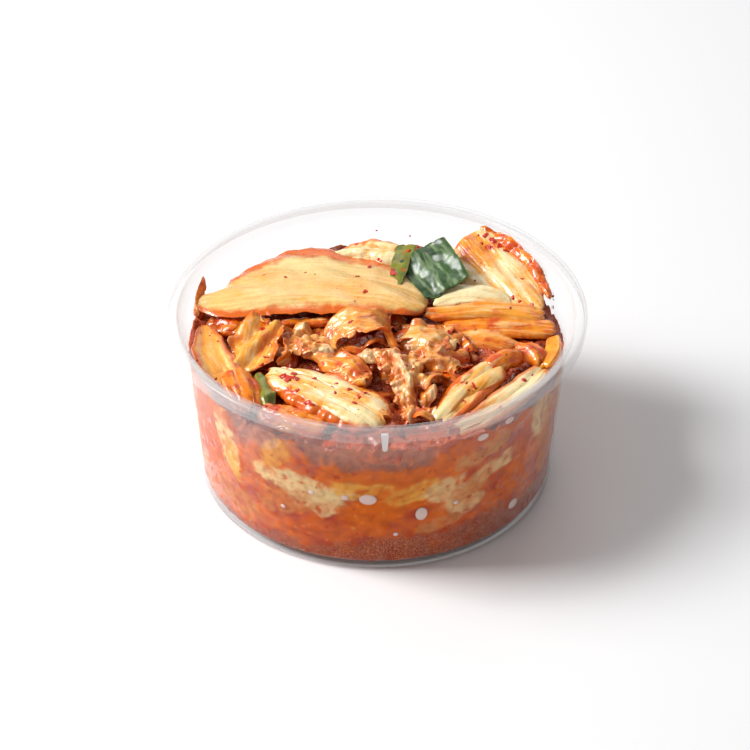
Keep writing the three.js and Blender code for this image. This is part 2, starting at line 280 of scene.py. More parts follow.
# %% The tub's plastic
def milky_plastic(name, least, edge_on, white=220):
    """See-through plastic: its least veil, what is added where it is seen edge on, and how white it is."""
    material, tree, shader = new_material(name)
    here = tree.here()
    height = here.parts()[2]
    facing = tree.node("ShaderNodeLayerWeight", out=1, Blend=0.5)
    cloud = here.noise(60, 4)
    rim_veil = height.step(SKIRT_BOTTOM * MM - 0.002, SKIRT_BOTTOM * MM)
    foot_veil = 1 - height.step(FOOT_HEIGHT * MM, 3 * FOOT_HEIGHT * MM)
    feed(
        shader,
        Base_Color=cloud.mix(srgb(white - 6, white - 6, white - 5), srgb(white + 6, white + 5, white + 4)),
        Alpha=least + facing**2.8 * edge_on + cloud * 0.006 + rim_veil * 0.1 + foot_veil * 0.04,
        Roughness=0.14 + here.noise(220, 2) * 0.1,
        Normal=tree.bump(here.noise(90, 2), 0.08, 0.0004),
    )
    feed(shader, IOR=1.49, Specular_IOR_Level=1.0)
    print(name, "nodes:", len(material.node_tree.nodes))
    return material


plastic = milky_plastic("milky_polypropylene", 0.005, 0.42)
# The rib's solid plastic is denser, and its whiter colour is a painted highlight.
rib_plastic = milky_plastic("thick_polypropylene_painted_highlight", 0.5, 0.4, 248)

# %% [markdown]
# A tub is a turned shape, so its outline is drawn once, from the axis under the floor, out along the
# foot, up the wall, over the hollow rim and back down inside. Spinning the points in code closes the
# shell on itself with no seam, and corners are rounded by short arcs.


# %% Turned shells
def show(thing):
    bpy.context.scene.collection.objects.link(thing)


def mesh_object(name, points, faces, material, smooth=True):
    """An object from points in millimetres, with its faces pointing outwards."""
    mesh = bpy.data.meshes.new(name)
    mesh.from_pydata((np.asarray(points, float) * MM).tolist(), [], faces)
    mesh.validate()
    for polygon in mesh.polygons:
        polygon.use_smooth = smooth
    mesh.materials.append(material)
    made = bpy.data.objects.new(name, mesh)
    show(made)
    return made


def spin(outline, segments):
    """Points and faces of a closed outline of (radius, height) turned about Z; its ends lie on the axis."""
    ring = outline[1:-1]
    angles = np.arange(segments) * 2 * math.pi / segments
    points = [(0, 0, outline[0][1]), (0, 0, outline[-1][1])]
    for radius, height in ring:
        points += [(radius * math.sin(a), -radius * math.cos(a), height) for a in angles]
    faces = []
    for i in range(len(ring) - 1):
        for j in range(segments):
            a, b = 2 + i * segments + j, 2 + i * segments + (j + 1) % segments
            faces.append((a, b, b + segments, a + segments))
    last = 2 + (len(ring) - 1) * segments
    for j in range(segments):
        k = (j + 1) % segments
        faces += [(0, 2 + k, 2 + j), (1, last + j, last + k)]
    return points, faces


def arc(radius, height, size, start, end, steps):
    """Points of part of a circle about a centre, angles in degrees."""
    angles = np.radians(np.linspace(start, end, steps + 1))
    return [(radius + size * math.cos(a), height + size * math.sin(a)) for a in angles]


rim_inner = RIM - RIM_WIDTH
fillet = WALL_FOOT + 1.6
outline = [
    (0, FOOT_HEIGHT),
    (FOOT_RADIUS - FOOT_WIDTH - 0.9, FOOT_HEIGHT),
    *arc(FOOT_RADIUS - FOOT_WIDTH - 0.5, FOOT_HEIGHT - 0.4, 0.4, 90, 0, 3),
    *arc(FOOT_RADIUS - FOOT_WIDTH + 0.35, 0.35, 0.35, 180, 270, 3),
    *arc(FOOT_RADIUS - 0.5, 0.5, 0.5, 270, 350, 3),
    (LOW_RADIUS - 0.25, 1.1),
    (LOW_RADIUS, WALL_FOOT),
    ((LOW_RADIUS + HIGH_RADIUS) / 2, (WALL_FOOT + LEDGE) / 2),
    (HIGH_RADIUS, LEDGE),
    (rim_inner, LEDGE + 1.0),
    (rim_inner + 0.1, HEIGHT - 1.6),
    *arc(rim_inner + 0.9, HEIGHT - 1.5, 0.8, 180, 90, 3),
    *arc(RIM - 1.5, HEIGHT - 1.5, 0.8, 90, 0, 3),
    *arc(RIM - 0.5, SKIRT_BOTTOM + 0.15, 0.2, 180, 360, 4),
    *arc(RIM - 1.1, HEIGHT - 1.1, 1.1, 0, 90, 6),
    *arc(rim_inner + 0.6, HEIGHT - 0.7, 0.7, 90, 180, 5),
    (rim_inner - 0.5, LEDGE + 1.7),
    *arc(rim_inner - 1.1, LEDGE + 1.6, 0.5, 0, -60, 3),
    (HIGH_RADIUS - WALL, LEDGE + 0.2),
    ((LOW_RADIUS + HIGH_RADIUS) / 2 - WALL, (WALL_FOOT + LEDGE) / 2),
    *arc(inner_radius(fillet) - 1.6, fillet, 1.6, 0, -90, 5),
    (0, WALL_FOOT),
]
points, faces = spin(outline, 256)
tub = mesh_object("round_tub", points, faces, plastic)
print("tub faces:", len(tub.data.polygons))

# %% [markdown]
# The moulded rib on the rim is a slim tapered tab with a round tip that hangs just below the skirt. It
# is a small extruded outline of its own, pressed into the skirt so that no gap shows. Its plastic is
# denser than the wall's, being solid, and whiter as a painted highlight.

# %% The rib on the rim
RIB_TOP, RIB_TIP, RIB_DROP, RIB_TURN = 0.85, 0.55, 1.5, math.radians(2.2)
rib_outline = [(-RIB_TOP, HEIGHT - 0.8), (RIB_TOP, HEIGHT - 0.8)]
rib_outline += arc(0, SKIRT_BOTTOM - RIB_DROP, RIB_TIP, 0, -180, 9)
points = []
for depth in (RIM - 0.55, RIM + 0.3):
    for x, z in rib_outline:
        out = (math.sin(RIB_TURN), -math.cos(RIB_TURN))
        points.append((depth * out[0] - x * out[1], depth * out[1] + x * out[0], z))
count = len(rib_outline)
faces = [tuple(range(count)), tuple(range(2 * count - 1, count - 1, -1))]
faces += [(i, (i + 1) % count, count + (i + 1) % count, count + i) for i in range(count)]
faces = [tuple(reversed(face)) for face in faces]
rib = mesh_object("rim_rib", points, faces, rib_plastic, smooth=False)
bevel = rib.modifiers.new("round", "BEVEL")
bevel.width, bevel.segments = 0.15 * MM, 3
print("rib points:", len(points))

# %% [markdown]
# Everything between the wall and the leaves on top is one imported body. What tells it apart is how it
# meets the wall: pale leaves lie flat against the plastic, orange brine fills the gaps between them, a
# brown-red froth has settled at the bottom, and near the top the food leaves the wall in a few pockets,
# painted pale pink as a painted haze of the lit plastic in front of them. Each patch is an oval with a
# ragged edge, painted into a colour attribute that the material reads.

# %% Smooth noise
rng = np.random.default_rng(1)
SHUFFLE = rng.permutation(256)
SLOPES = rng.normal(size=(256, 3))
SLOPES /= np.linalg.norm(SLOPES, axis=1, keepdims=True)


def smooth_noise(points):
    """Smooth random numbers, about -1 to 1: every corner of a unit grid carries a random slope."""
    cell = np.floor(points).astype(int)
    inside = points - cell
    ease = inside**3 * (inside * (inside * 6 - 15) + 10)
    total = 0.0
    for corner in itertools.product((0, 1), repeat=3):
        x, y, z = np.moveaxis(cell + corner, -1, 0)
        slope = SLOPES[SHUFFLE[(SHUFFLE[(SHUFFLE[x & 255] + y) & 255] + z) & 255]]
        weight = np.prod(np.where(np.array(corner, bool), ease, 1 - ease), axis=-1)
        total = total + weight * (slope * (inside - corner)).sum(-1)
    return total * 1.5


def wobble(x, y, z, scale, seed=0.0, octaves=3):
    """Smooth random numbers, about -1 to 1, at places in millimetres: bumps of the given scale."""
    place = np.stack(np.broadcast_arrays(x, y, z), -1) / scale + np.array([17.3, -5.1, 9.7]) * seed
    return sum(smooth_noise(place * 2**k) / 2**k for k in range(octaves))


def ramp(value, low, high):
    """0 below low, 1 above high, smooth in between."""
    share = np.clip((value - low) / (high - low), 0, 1)
    return share * share * (3 - 2 * share)


print("noise at four places:", wobble(np.arange(4) * 3.1, 1.0, 2.0, 5).round(2))

# %% Ragged ovals on the wall
CREAM, TAN, SALMON = srgb(240, 204, 146), srgb(214, 146, 88), srgb(212, 100, 50)
YELLOW, ORANGE, BRINE = srgb(242, 172, 70), srgb(226, 106, 12), srgb(184, 58, 8)
# The pale tone of the pockets is painted haze: the lit milky plastic in front of food that stands back in shade.
RUST, DEEP, MILKY = srgb(136, 50, 22), srgb(126, 22, 2), srgb(206, 122, 84)

# (degrees right of the front, height, half width, half height, tilt in degrees, colour, how solid)
PATCHES = [
    (-66, 28, 8, 12, -14, SALMON, 0.7), (-56, 38, 7, 6, 10, SALMON, 0.8),
    (-53, 32, 3.6, 10, 14, CREAM, 1.0), (-50, 26, 2.6, 6, 10, YELLOW, 1.0),
    (-40, 40, 6.5, 4, 14, MILKY, 0.9), (-32, 35, 3.5, 6, -34, YELLOW, 0.8),
    (-24, 27.5, 13, 3.6, -7, CREAM, 1.0), (-20, 23, 8, 3.4, -12, CREAM, 0.85), (-30, 20, 9, 4, 14, TAN, 0.6),
    (-12, 34.5, 9, 3.6, -30, ORANGE, 1.0), (0, 33, 12, 3.4, 0, ORANGE, 1.0),
    (14, 35, 9, 3.8, 8, ORANGE, 1.0), (24, 37, 5, 4.6, 40, ORANGE, 1.0),
    (-4, 28.6, 11, 2.4, -3, YELLOW, 0.9), (7, 25, 9, 4.5, 16, ORANGE, 0.8),
    (12, 27.5, 7, 2.5, 20, YELLOW, 0.8), (-3, 20, 8, 4, 0, ORANGE, 0.9), (-2, 39.6, 17, 3.6, 0, MILKY, 1.0),
    (23, 26, 6, 3.4, 6, CREAM, 0.8), (27, 20, 7, 3, -14, CREAM, 0.75), (38, 29, 8, 2.4, 12, CREAM, 0.85),
    (31, 24.5, 6, 3, 30, TAN, 0.8), (34, 36, 8, 3.4, 18, TAN, 0.9), (33, 41, 7, 2.6, 22, SALMON, 0.8),
    (46, 20, 6, 5, 36, ORANGE, 0.8), (52, 33, 6, 4, 44, SALMON, 0.8), (60, 36, 4, 9, 16, CREAM, 0.95),
    (66, 24, 4, 12, 6, TAN, 0.7), (-14, 13, 10, 3, 4, SALMON, 0.7), (-50, 12, 10, 4, -10, TAN, 0.6),
    (50, 43, 7, 2.4, 24, ORANGE, 0.9), (-62, 43, 8, 4, -18, ORANGE, 0.8), (20, 14.5, 6, 2, 10, TAN, 0.7),
]
BACK_PATCHES = 44
for k in range(BACK_PATCHES):
    tone = [CREAM, TAN, SALMON, YELLOW, ORANGE, CREAM][k % 6]
    degrees, height = 80 + 200 * (k + rng.random()) / BACK_PATCHES, 9 + 33 * rng.random()
    wide, tall = rng.uniform((4, 2), (13, 6))
    PATCHES.append((degrees, height, wide, tall, rng.uniform(-35, 35), tone, rng.uniform(0.6, 1)))


def wall_color(angle, z):
    """The colours pressed against the wall, and how far the food stands back from it, in millimetres."""
    x, y = MEAN_RADIUS * np.sin(angle), -MEAN_RADIUS * np.cos(angle)
    fine = wobble(x, y, z, 2.2, 2)
    red = ramp(wobble(x, y, z * 1.6, 9, 3), -0.6, 0.6)[:, None]
    color = np.array(BRINE) * red + np.array(ORANGE) * (1 - red)
    back = 0.25 + 0.25 * fine
    for degrees, height, wide, tall, tilt, tone, solid in PATCHES:
        across = np.radians((np.degrees(angle) - degrees + 180) % 360 - 180) * MEAN_RADIUS
        near = np.nonzero((abs(across) < 22) & (abs(z - height) < 17))[0]
        across, rise, place = across[near], z[near] - height, (x[near], y[near], z[near])
        t = math.radians(tilt)
        a = (across * math.cos(t) + rise * math.sin(t)) / wide
        b = (rise * math.cos(t) - across * math.sin(t)) / tall
        torn = 0.5 * wobble(*place, 6, degrees, 4)
        mottled = 0.75 * wobble(*place, 2.4, degrees + 1, 3)
        cover = solid * ramp(1.3 - np.hypot(a, b) + torn, 0, 0.35) * ramp(mottled, -0.65, 0.1)
        veins = 0.94 + 0.16 * wobble(a * 3, b * 12, 0, 2.6, degrees + 3, 2)
        cover = cover[:, None]
        color[near] = color[near] * (1 - cover) + np.array(tone) * veins[:, None] * cover
        back[near] += cover[:, 0] * ((1.6 if tone is MILKY else -0.1) - back[near] * 0.5)
    share = ramp(np.degrees((angle + math.pi) % (2 * math.pi)) - 180, -30, 12)
    froth = 1 - ramp(z - 3 * wobble(x, y, z, 12, 1) - fine, 4 + 5 * share, 8 + 6 * share)
    froth = froth[:, None] * 0.85
    color = color * (1 - froth) + np.array(RUST) * (1 + 0.2 * fine[:, None]) * froth
    color[:, 3] = froth[:, 0]
    return np.clip(color, 0, 1), np.maximum(0, back)


print("patches on the wall:", len(PATCHES))

# %% [markdown]
# The top of the imported body is a field of heights over the round floor: chopped leaves lie in ridges
# with dark brine between them, and the lowest places are painted deep red as painted shade. The side
# and the top are one closed skin, dense enough that the ridges and the edges of the patches are real
# relief.


# %% The imported kimchi
def bed_top(x, y):
    """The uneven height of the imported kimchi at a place: lower at the back, with sharp folds."""
    folds = abs(wobble(x, y, 0, 12, 5, 3)) + 0.35 * abs(wobble(x * 1.6, y, 9, 4, 6, 3))
    level = 42.3 - 1.7 * ramp(y, 5, 40)
    return level + 1.8 * wobble(x, y, 3, 17, 4, 2) - 3.0 * folds + 0.9


COLUMNS, SIDE_ROWS, TOP_ROWS = 560, 78, 90
angle = 2 * math.pi * np.arange(COLUMNS) / COLUMNS
edge = inner_radius(40)
rim_height = bed_top(edge * np.sin(angle), -edge * np.cos(angle))
shares = np.linspace(0, 1, SIDE_ROWS)[:, None]
z = (WALL_FOOT + (rim_height - WALL_FOOT) * shares).ravel()
around = np.tile(angle, SIDE_ROWS)
side_colors, back = wall_color(around, z)
rise = np.minimum(1, (z - WALL_FOOT) / 1.6)
radius = inner_radius(z) + 0.2 - back - 1.6 * (1 - np.sqrt(1 - (1 - rise) ** 2))
side_points = np.column_stack([radius * np.sin(around), -radius * np.cos(around), z])
inward = (1 - np.arange(1, TOP_ROWS) / TOP_ROWS)[:, None, None]
top_points = (side_points[-COLUMNS:] * inward).reshape(-1, 3)
top_points[:, 2] = bed_top(top_points[:, 0], top_points[:, 1])
red = ramp(wobble(top_points[:, 0], top_points[:, 1], 2, 6, 8), -0.5, 0.5)[:, None]
# Lower places on the top are painted deep red: painted shade between the ridges, over the dark brine.
low = 1 - ramp(top_points[:, 2:] - 39, -2, 2)
top_colors = np.array(BRINE) * (1 - red) + np.array(DEEP) * red
top_colors = top_colors * (1 - low) + np.array(DEEP) * low
points = np.vstack([[(0, 0, WALL_FOOT)], side_points, top_points, [(0, 0, bed_top(0.0, 0.0))]])
colors = np.vstack([[RUST], side_colors, top_colors, [DEEP]])
rows = SIDE_ROWS + TOP_ROWS - 1
faces = []
for column in range(COLUMNS):
    after = (column + 1) % COLUMNS
    faces.append((0, 1 + after, 1 + column))
    faces.append((len(points) - 1, 1 + (rows - 1) * COLUMNS + column, 1 + (rows - 1) * COLUMNS + after))
    for row in range(rows - 1):
        a, b = 1 + row * COLUMNS + column, 1 + row * COLUMNS + after
        faces.append((a, b, b + COLUMNS, a + COLUMNS))
print("packed kimchi:", len(points), "points,", len(faces), "faces")

# %% [markdown]
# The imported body's own finish adds what is finer than its mesh: fibres in the pale leaves, tiny bubbles
# and grains in the froth, red chili dust everywhere, and a wet gloss.

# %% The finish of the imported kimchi
def packed_finish(name, gloss, roughness):
    """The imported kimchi's finish; where it is pressed to the wall no air is left, so nothing shines."""
    material, tree, shader = new_material(name)
    here = tree.here()
    painted = tree.carried("tone")
    froth = tree.carried("tone", 3)
    grain, cloudy, specks = here.noise(2600, 2), here.noise(150, 4), here.noise(700, 2)
    frothy = (froth * grain.step(0.46, 0.66) * 0.7).mix(painted, srgb(224, 150, 108))
    flecked = (specks.step(0.64, 0.72) * (1 - froth) * 0.35).mix(frothy, srgb(248, 186, 92))
    reddened = (here.noise(420, 2).step(0.64, 0.72) * 0.7).mix(flecked, srgb(168, 34, 6))
    darkened = (here.noise(330, 3).step(0.55, 0.35) * 0.3).mix(reddened, srgb(150, 50, 10))
    feed(
        shader,
        Base_Color=(cloudy.step(0.45, 0.75) * 0.3).mix(darkened, srgb(222, 100, 20)),
        Roughness=roughness + cloudy * 0.2,
        Normal=tree.bump(grain * 0.2 + specks * 0.4 + cloudy, 0.3, 0.0006),
    )
    feed(shader, Specular_IOR_Level=gloss)
    return material


at_wall, on_top = packed_finish("kimchi_at_the_wall", 0.05, 0.5), packed_finish("kimchi_on_top", 0.5, 0.12)
bed = mesh_object("packed_kimchi", points, faces, at_wall)
bed.data.materials.append(on_top)
for polygon in bed.data.polygons:
    if polygon.normal.z > 0.35 and polygon.center.z > 30 * MM:
        polygon.material_index = 1
tones = bed.data.color_attributes.new("tone", "FLOAT_COLOR", "POINT")
tones.data.foreach_set("color", colors.astype(np.float32).ravel())
print("packed kimchi triangles:", 2 * len(bed.data.polygons))

# %% [markdown]
# A leaf or a stalk is a sheet laid along a line. Its stations give the line, and the width to either
# side. The sheet is domed or wrapped about the line, folded lengthwise, frilled at its edges, and
# crinkled by smooth noise whose sign is dropped, which leaves sharp creases. Its two faces are then set
# apart along the true surface normal, so that thin stays thin wherever the sheet bends. Each point keeps
# where it lies along and across the sheet, so that fibres and stains can follow the leaf.


# %% Crumpled sheets
def spline(points, shares):
    """Points of a smooth line through the given rows of numbers, at shares of its length from 0 to 1."""
    points = np.asarray(points, float)
    padded = np.vstack([2 * points[0] - points[1], points, 2 * points[-1] - points[-2]])
    place = np.clip(np.asarray(shares, float), 0, 1) * (len(points) - 1)
    i = np.minimum(place.astype(int), len(points) - 2)
    t = (place - i)[:, None]
    p0, p1, p2, p3 = (padded[i + k] for k in range(4))
    bend = (2 * p0 - 5 * p1 + 4 * p2 - p3) * t**2 + (3 * p1 - p0 - 3 * p2 + p3) * t**3
    return 0.5 * (2 * p1 + (p2 - p0) * t + bend)


def unit(vectors):
    return vectors / np.maximum(np.linalg.norm(vectors, axis=-1, keepdims=True), 1e-9)


def keep_inside(points):
    """Points moved in to the wall's inside where they would pass it."""
    limit = inner_radius(points[..., 2]) + 0.15
    radius = np.hypot(points[..., 0], points[..., 1])
    share = np.minimum(1, limit / np.maximum(radius, 1e-6))
    moved = points.copy()
    moved[..., :2] *= share[..., None]
    return moved


print("a point 60 mm out comes in to:", keep_inside(np.array([[60.0, 0.0, 20.0]])).round(2))

# %% One crumpled sheet
SHAPE = dict(
    thick=(0.5, 1.6), slab=2, blunt=6, cut=0.4,  # edge and middle, how blocky, and how its ends close
    rows=110, columns=44,  # points along and across
    dome=0.0, curl=0.0, wrap=0.0, open=False,  # how it bends across, and whether its underside may show
    ragged=0.12, frill=0.0, ruffle=6.0,  # its outline, and how far and how often its edge waves
    fold=0.0, folds=5.0, ribs=0.0,  # height and spacing of the folds along it, and fine ribs
    crumple=0.4, lumps=8.0, ridge=0.0, crinkle=0.0, grain=2.6,  # broad bumps, and fine sharp creases
    stain=0.45, brown=0.0, white=0.0, edging=0.4, red=0.0, flakes=0.35, sunk=0.0,  # its colours
)


def sheet_mesh(stations, side, seed, **options):
    """Points, faces and per-point values of one crumpled sheet."""
    o = {**SHAPE, **options}
    rows, columns = o["rows"], o["columns"]
    u = 0.6 * (0.5 - 0.5 * np.cos(np.linspace(0, math.pi, rows))) + 0.4 * np.linspace(0, 1, rows)
    v = (np.sin(np.linspace(-1, 1, columns) * 1.26) / math.sin(1.26))[None, :]
    line = spline(stations, u)
    centre, widths = line[:, :3], np.maximum(line[:, 3:5], 0.3)
    along = unit(np.gradient(centre, axis=0))
    sides = unit(np.asarray(side, float) - along * (np.asarray(side, float) * along).sum(1, keepdims=True))
    up = np.cross(along, sides)
    flip = np.ones((rows, 1)) if o["open"] else np.where(up[:, 2:3] < 0, -1, 1)
    up, sides_2d, length = up * flip, sides[:, None], np.zeros((rows, 1))
    length[1:, 0] = np.cumsum(np.linalg.norm(np.diff(centre, axis=0), axis=1))
    taper = np.maximum(0.03, 1 - np.abs(2 * u - 1) ** o["blunt"])[:, None] ** 0.5
    edge, away = abs(v), np.where(v > 0, 40.0, 0.0)
    width = np.where(v < 0, widths[:, :1], widths[:, 1:]) * taper
    width = width * (1 + o["ragged"] * wobble(length * 0.9, away, seed, 5, seed))
    across, lift = v * width, o["dome"] * (1 - v**2) + o["curl"] * edge**3
    if o["wrap"]:
        theta = math.radians(o["wrap"])
        radius = width / theta
        across, lift = radius * np.sin(v * theta), radius * (np.cos(v * theta) - (1 + math.cos(theta)) / 2)
    place = centre[:, None] + sides_2d * across[..., None] + up[:, None] * lift[..., None]

    def normals():
        return unit(np.cross(np.gradient(place, axis=0), np.gradient(place, axis=1))) * flip[:, None]

    reach = length + 0 * across
    move = o["frill"] * edge**1.6 * wobble(reach, v * 1.5 + away, seed, o["ruffle"], seed + 2, 2)
    move = move + 0.4 * o["frill"] * edge**4 * wobble(reach, away, seed, o["ruffle"] * 0.4, seed + 3, 1)
    turn = 2.4 * wobble(reach, across, seed, 13, seed + 5, 2)
    move = move + o["fold"] * np.sin(2 * math.pi * across / o["folds"] + 0.15 * reach + turn)
    bump = wobble(*np.moveaxis(place, -1, 0), o["lumps"], seed + 4, 3)
    bump = bump * (1 - o["ridge"]) + (0.8 - 2.2 * abs(bump)) * o["ridge"]
    crease = 1.5 * abs(wobble(reach * 0.5, across, seed, o["grain"], seed + 7, 3)) - 0.4
    move = move + o["crumple"] * bump + o["crinkle"] * crease
    shift = 0.4 * o["crumple"] * wobble(reach, across, seed, o["lumps"], seed + 6, 2)
    place = place + normals() * move[..., None] + sides_2d * shift[..., None]
    normal = normals()
    thin, thick = o["thick"]
    half = (thin + (thick - thin) * (1 - edge ** o["slab"])) / 2
    half = half * (o["cut"] + (1 - o["cut"]) * taper)
    half = half * np.sqrt(1 - np.clip((edge - 0.82) / 0.18, 0, 1) ** 2)
    rib = half * o["ribs"] * wobble(reach * 0.06, across, seed, 1.5, seed + 8, 2)
    closing = np.pad(np.ones((rows - 2, columns - 2)), 1)
    top = place + normal * ((half + rib) * closing)[..., None]
    bottom = place - normal * (half * closing)[..., None]
    rim = np.maximum(edge + 0 * taper, 1 - taper)
    # How high a point stands in its crumples; the finish paints shade in the hollows and highlights on the crests from
    # it, besides gathering stains.
    depth = bump * 0.6 + crease * min(1, 2 * o["crinkle"])
    facts = np.stack([reach, across, rim, depth], -1).reshape(-1, 4)
    count = rows * columns
    corner = (np.arange(rows - 1)[:, None] * columns + np.arange(columns - 1)).ravel()
    quads = np.column_stack([corner, corner + 1, corner + columns + 1, corner + columns])
    faces = np.vstack([quads, quads[:, ::-1] + count]).tolist()
    points = keep_inside(np.vstack([top.reshape(-1, 3), bottom.reshape(-1, 3)]))
    return points, faces, np.vstack([facts, facts]), o


print("numbers that shape a sheet:", len(SHAPE))


# %% Sheets as objects
def weld(piece, distance):
    """Merges points nearer than a distance in millimetres and turns the faces outwards."""
    work = bmesh.new()
    work.from_mesh(piece.data)
    bmesh.ops.remove_doubles(work, verts=work.verts, dist=distance * MM)
    bmesh.ops.recalc_face_normals(work, faces=work.faces)
    work.to_mesh(piece.data)
    work.free()


def leaf_object(name, sheets, material, slot, nodes=()):
    """One object from several sheets, welded along their edges, with the values that the finish reads."""
    points, faces, facts, looks, extras, start = [], [], [], [], [], 0
    for some, polygons, values, o in sheets:
        points.append(some)
        faces += [tuple(k + start for k in face) for face in polygons]
        facts.append(values)
        looks += [(o["stain"], o["brown"], o["white"], o["edging"])] * len(some)
        extras += [(o["red"], o["flakes"], o["sunk"])] * len(some)
        start += len(some)
    leaf = mesh_object(name, np.vstack(points), faces, material)
    facts, mesh = np.vstack(facts), leaf.data
    for label, kind, key, values in (
        ("lie", "FLOAT_VECTOR", "vector", facts[:, [0, 1, 3]]),
        ("rim", "FLOAT", "value", facts[:, 2]),
        ("look", "FLOAT_COLOR", "color", np.array(looks)),
        ("sauce", "FLOAT_VECTOR", "vector", np.array(extras)),
    ):
        mesh.attributes.new(label, kind, "POINT").data.foreach_set(key, values.astype(np.float32).ravel())
    weld(leaf, 0.004)
    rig.ride(leaf, "root")
    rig.slot(leaf, slot)
    if nodes:
        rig.replaces(leaf, *nodes)
    return leaf


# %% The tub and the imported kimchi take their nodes
for piece, slot, node in ((tub, "polypropylene", "tub"), (bed, "bed", "kimchi_bed")):
    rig.ride(piece, "root")
    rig.slot(piece, slot)
    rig.replaces(piece, node)
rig.ride(rib, "root")
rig.slot(rib, "polypropylene")
print("the tub has a rib, and both large pieces ride on the root")

# %% [markdown]
# Cabbage that has soaked in chili brine is cream where the stem is thick, yellow to orange where it is
# thin, and pinkish brown where the frilled leaf edge has gone soft. Fibres run along it, chili stains
# gather at the edges and in the creases, and the whole is wet. The deepest hollows are also painted dark
# red as painted shade, and the crests of the soft brown parts are painted pale as a painted highlight.

# %% The finish of cabbage
def stretched(lie, along, across):
    """Where a point lies on its sheet, drawn out along the fibres."""
    return lie.vector("MULTIPLY", _1=(along, across, 0.3))


cabbage, tree, shader = new_material("pickled_cabbage")
here = tree.here()
lie = tree.carried("lie", 1)
rim = tree.carried("rim", 2)
split = tree.node("ShaderNodeSeparateColor", Color=tree.carried("look"))
stain, brown, white = (split.output(k) for k in range(3))
edging = tree.carried("look", 3)
red, _, sunk = tree.carried("sauce", 1).parts()
crease, height = lie.parts()[2], here.parts()[2]
fibre, strips = stretched(lie, 0.08, 1.0).noise(1.0, 4), stretched(lie, 0.04, 0.45).noise(1.0, 3)
broad, middle, fine = here.noise(70, 3), here.noise(260, 4), here.noise(900, 2)
pale = broad.step(0.35, 0.7).mix(srgb(236, 198, 122), srgb(234, 170, 72))
pale = white.mix(pale, srgb(246, 228, 176))
tinted = middle.step(0.4, 0.62).mix(srgb(240, 134, 14), srgb(208, 68, 4))
amount = stain * 1.5 + broad * 0.9 + middle * 0.35 + strips * 1.0 - crease * 0.35 - 1.39
leafy = (amount + fine * 0.12 - 0.06).step(-0.1, 0.2).mix(pale, srgb(246, 164, 52))
leafy = (amount + fine * 0.16 - 0.08).step(0.12, 0.55).mix(leafy, tinted)
soft = middle.step(0.35, 0.7).mix(srgb(236, 168, 92), srgb(200, 100, 32))
leafy = (brown * (middle * 0.7 + 0.4)).mix(leafy, soft)
leafy = (fibre.step(0.54, 0.64) * 0.42).mix(leafy, srgb(252, 220, 146))
leafy = (fibre.step(0.45, 0.36) * (stain * 0.6 + 0.12)).mix(leafy, srgb(214, 92, 8))
border = edging * (rim + middle * 0.5 + edging * 0.1 - 0.35).step(0.62, 0.86)
leafy = border.mix(leafy, srgb(218, 100, 10))
# The deepest hollows turn dark red: painted shade, where sauce also gathers.
leafy = ((0 - crease - broad * 0.4).step(0.05, 0.7) * (stain + brown)).mix(leafy, srgb(160, 40, 2))
# The crests of the soft brown parts turn pale: a painted highlight.
leafy = (crease.step(0.2, 0.9) * brown * 0.6).mix(leafy, srgb(250, 214, 172))
leafy = ((1 - (height - sunk * 0.0025).step(0.040, 0.0455)) * 0.85).mix(leafy, srgb(158, 28, 0))
paste = (middle * 0.55 + fine * 0.3 + broad * 0.5 + red * 0.5).step(0.86, 0.93)
leafy = (paste * 0.9).mix(leafy, srgb(206, 36, 2))
feed(
    shader,
    Base_Color=leafy,
    Roughness=0.14 + middle * 0.25,
    Normal=tree.bump(fibre * 0.9 + middle * 0.6 + fine * 0.35, 0.6, 0.0006),
)
feed(shader, Subsurface_Weight=0.15, Subsurface_Radius=(1.0, 0.6, 0.25), Subsurface_Scale=0.0014)
feed(shader, Coat_Weight=0.4, Coat_Roughness=0.09)
print(cabbage.name, "nodes:", len(cabbage.node_tree.nodes))

# %% [markdown]
# The leaves and stalks that can be told apart lie where the frame has their solids: a wide pale leaf
# over the back left, stalks on the right, a thick cream stem at the front and curled, frilled leaf ends
# in the middle. Each has its slot in the table, and its own stain and crumple.

# %% The table of leaves and stalks
STEM = dict(slab=4, blunt=16, cut=0.85, crumple=0.5, lumps=12, ribs=0.16, ragged=0.16, fold=0.16, folds=3.6)
BLADE = dict(
    thick=(0.3, 0.4), frill=2.4, ruffle=5, fold=0.3, folds=7, crinkle=0.5, grain=3, crumple=1.7, lumps=8,
    ridge=0.95, brown=0.8, ragged=0.25, stain=0.3, white=0.4, rows=150, columns=80, edging=0.25,
)
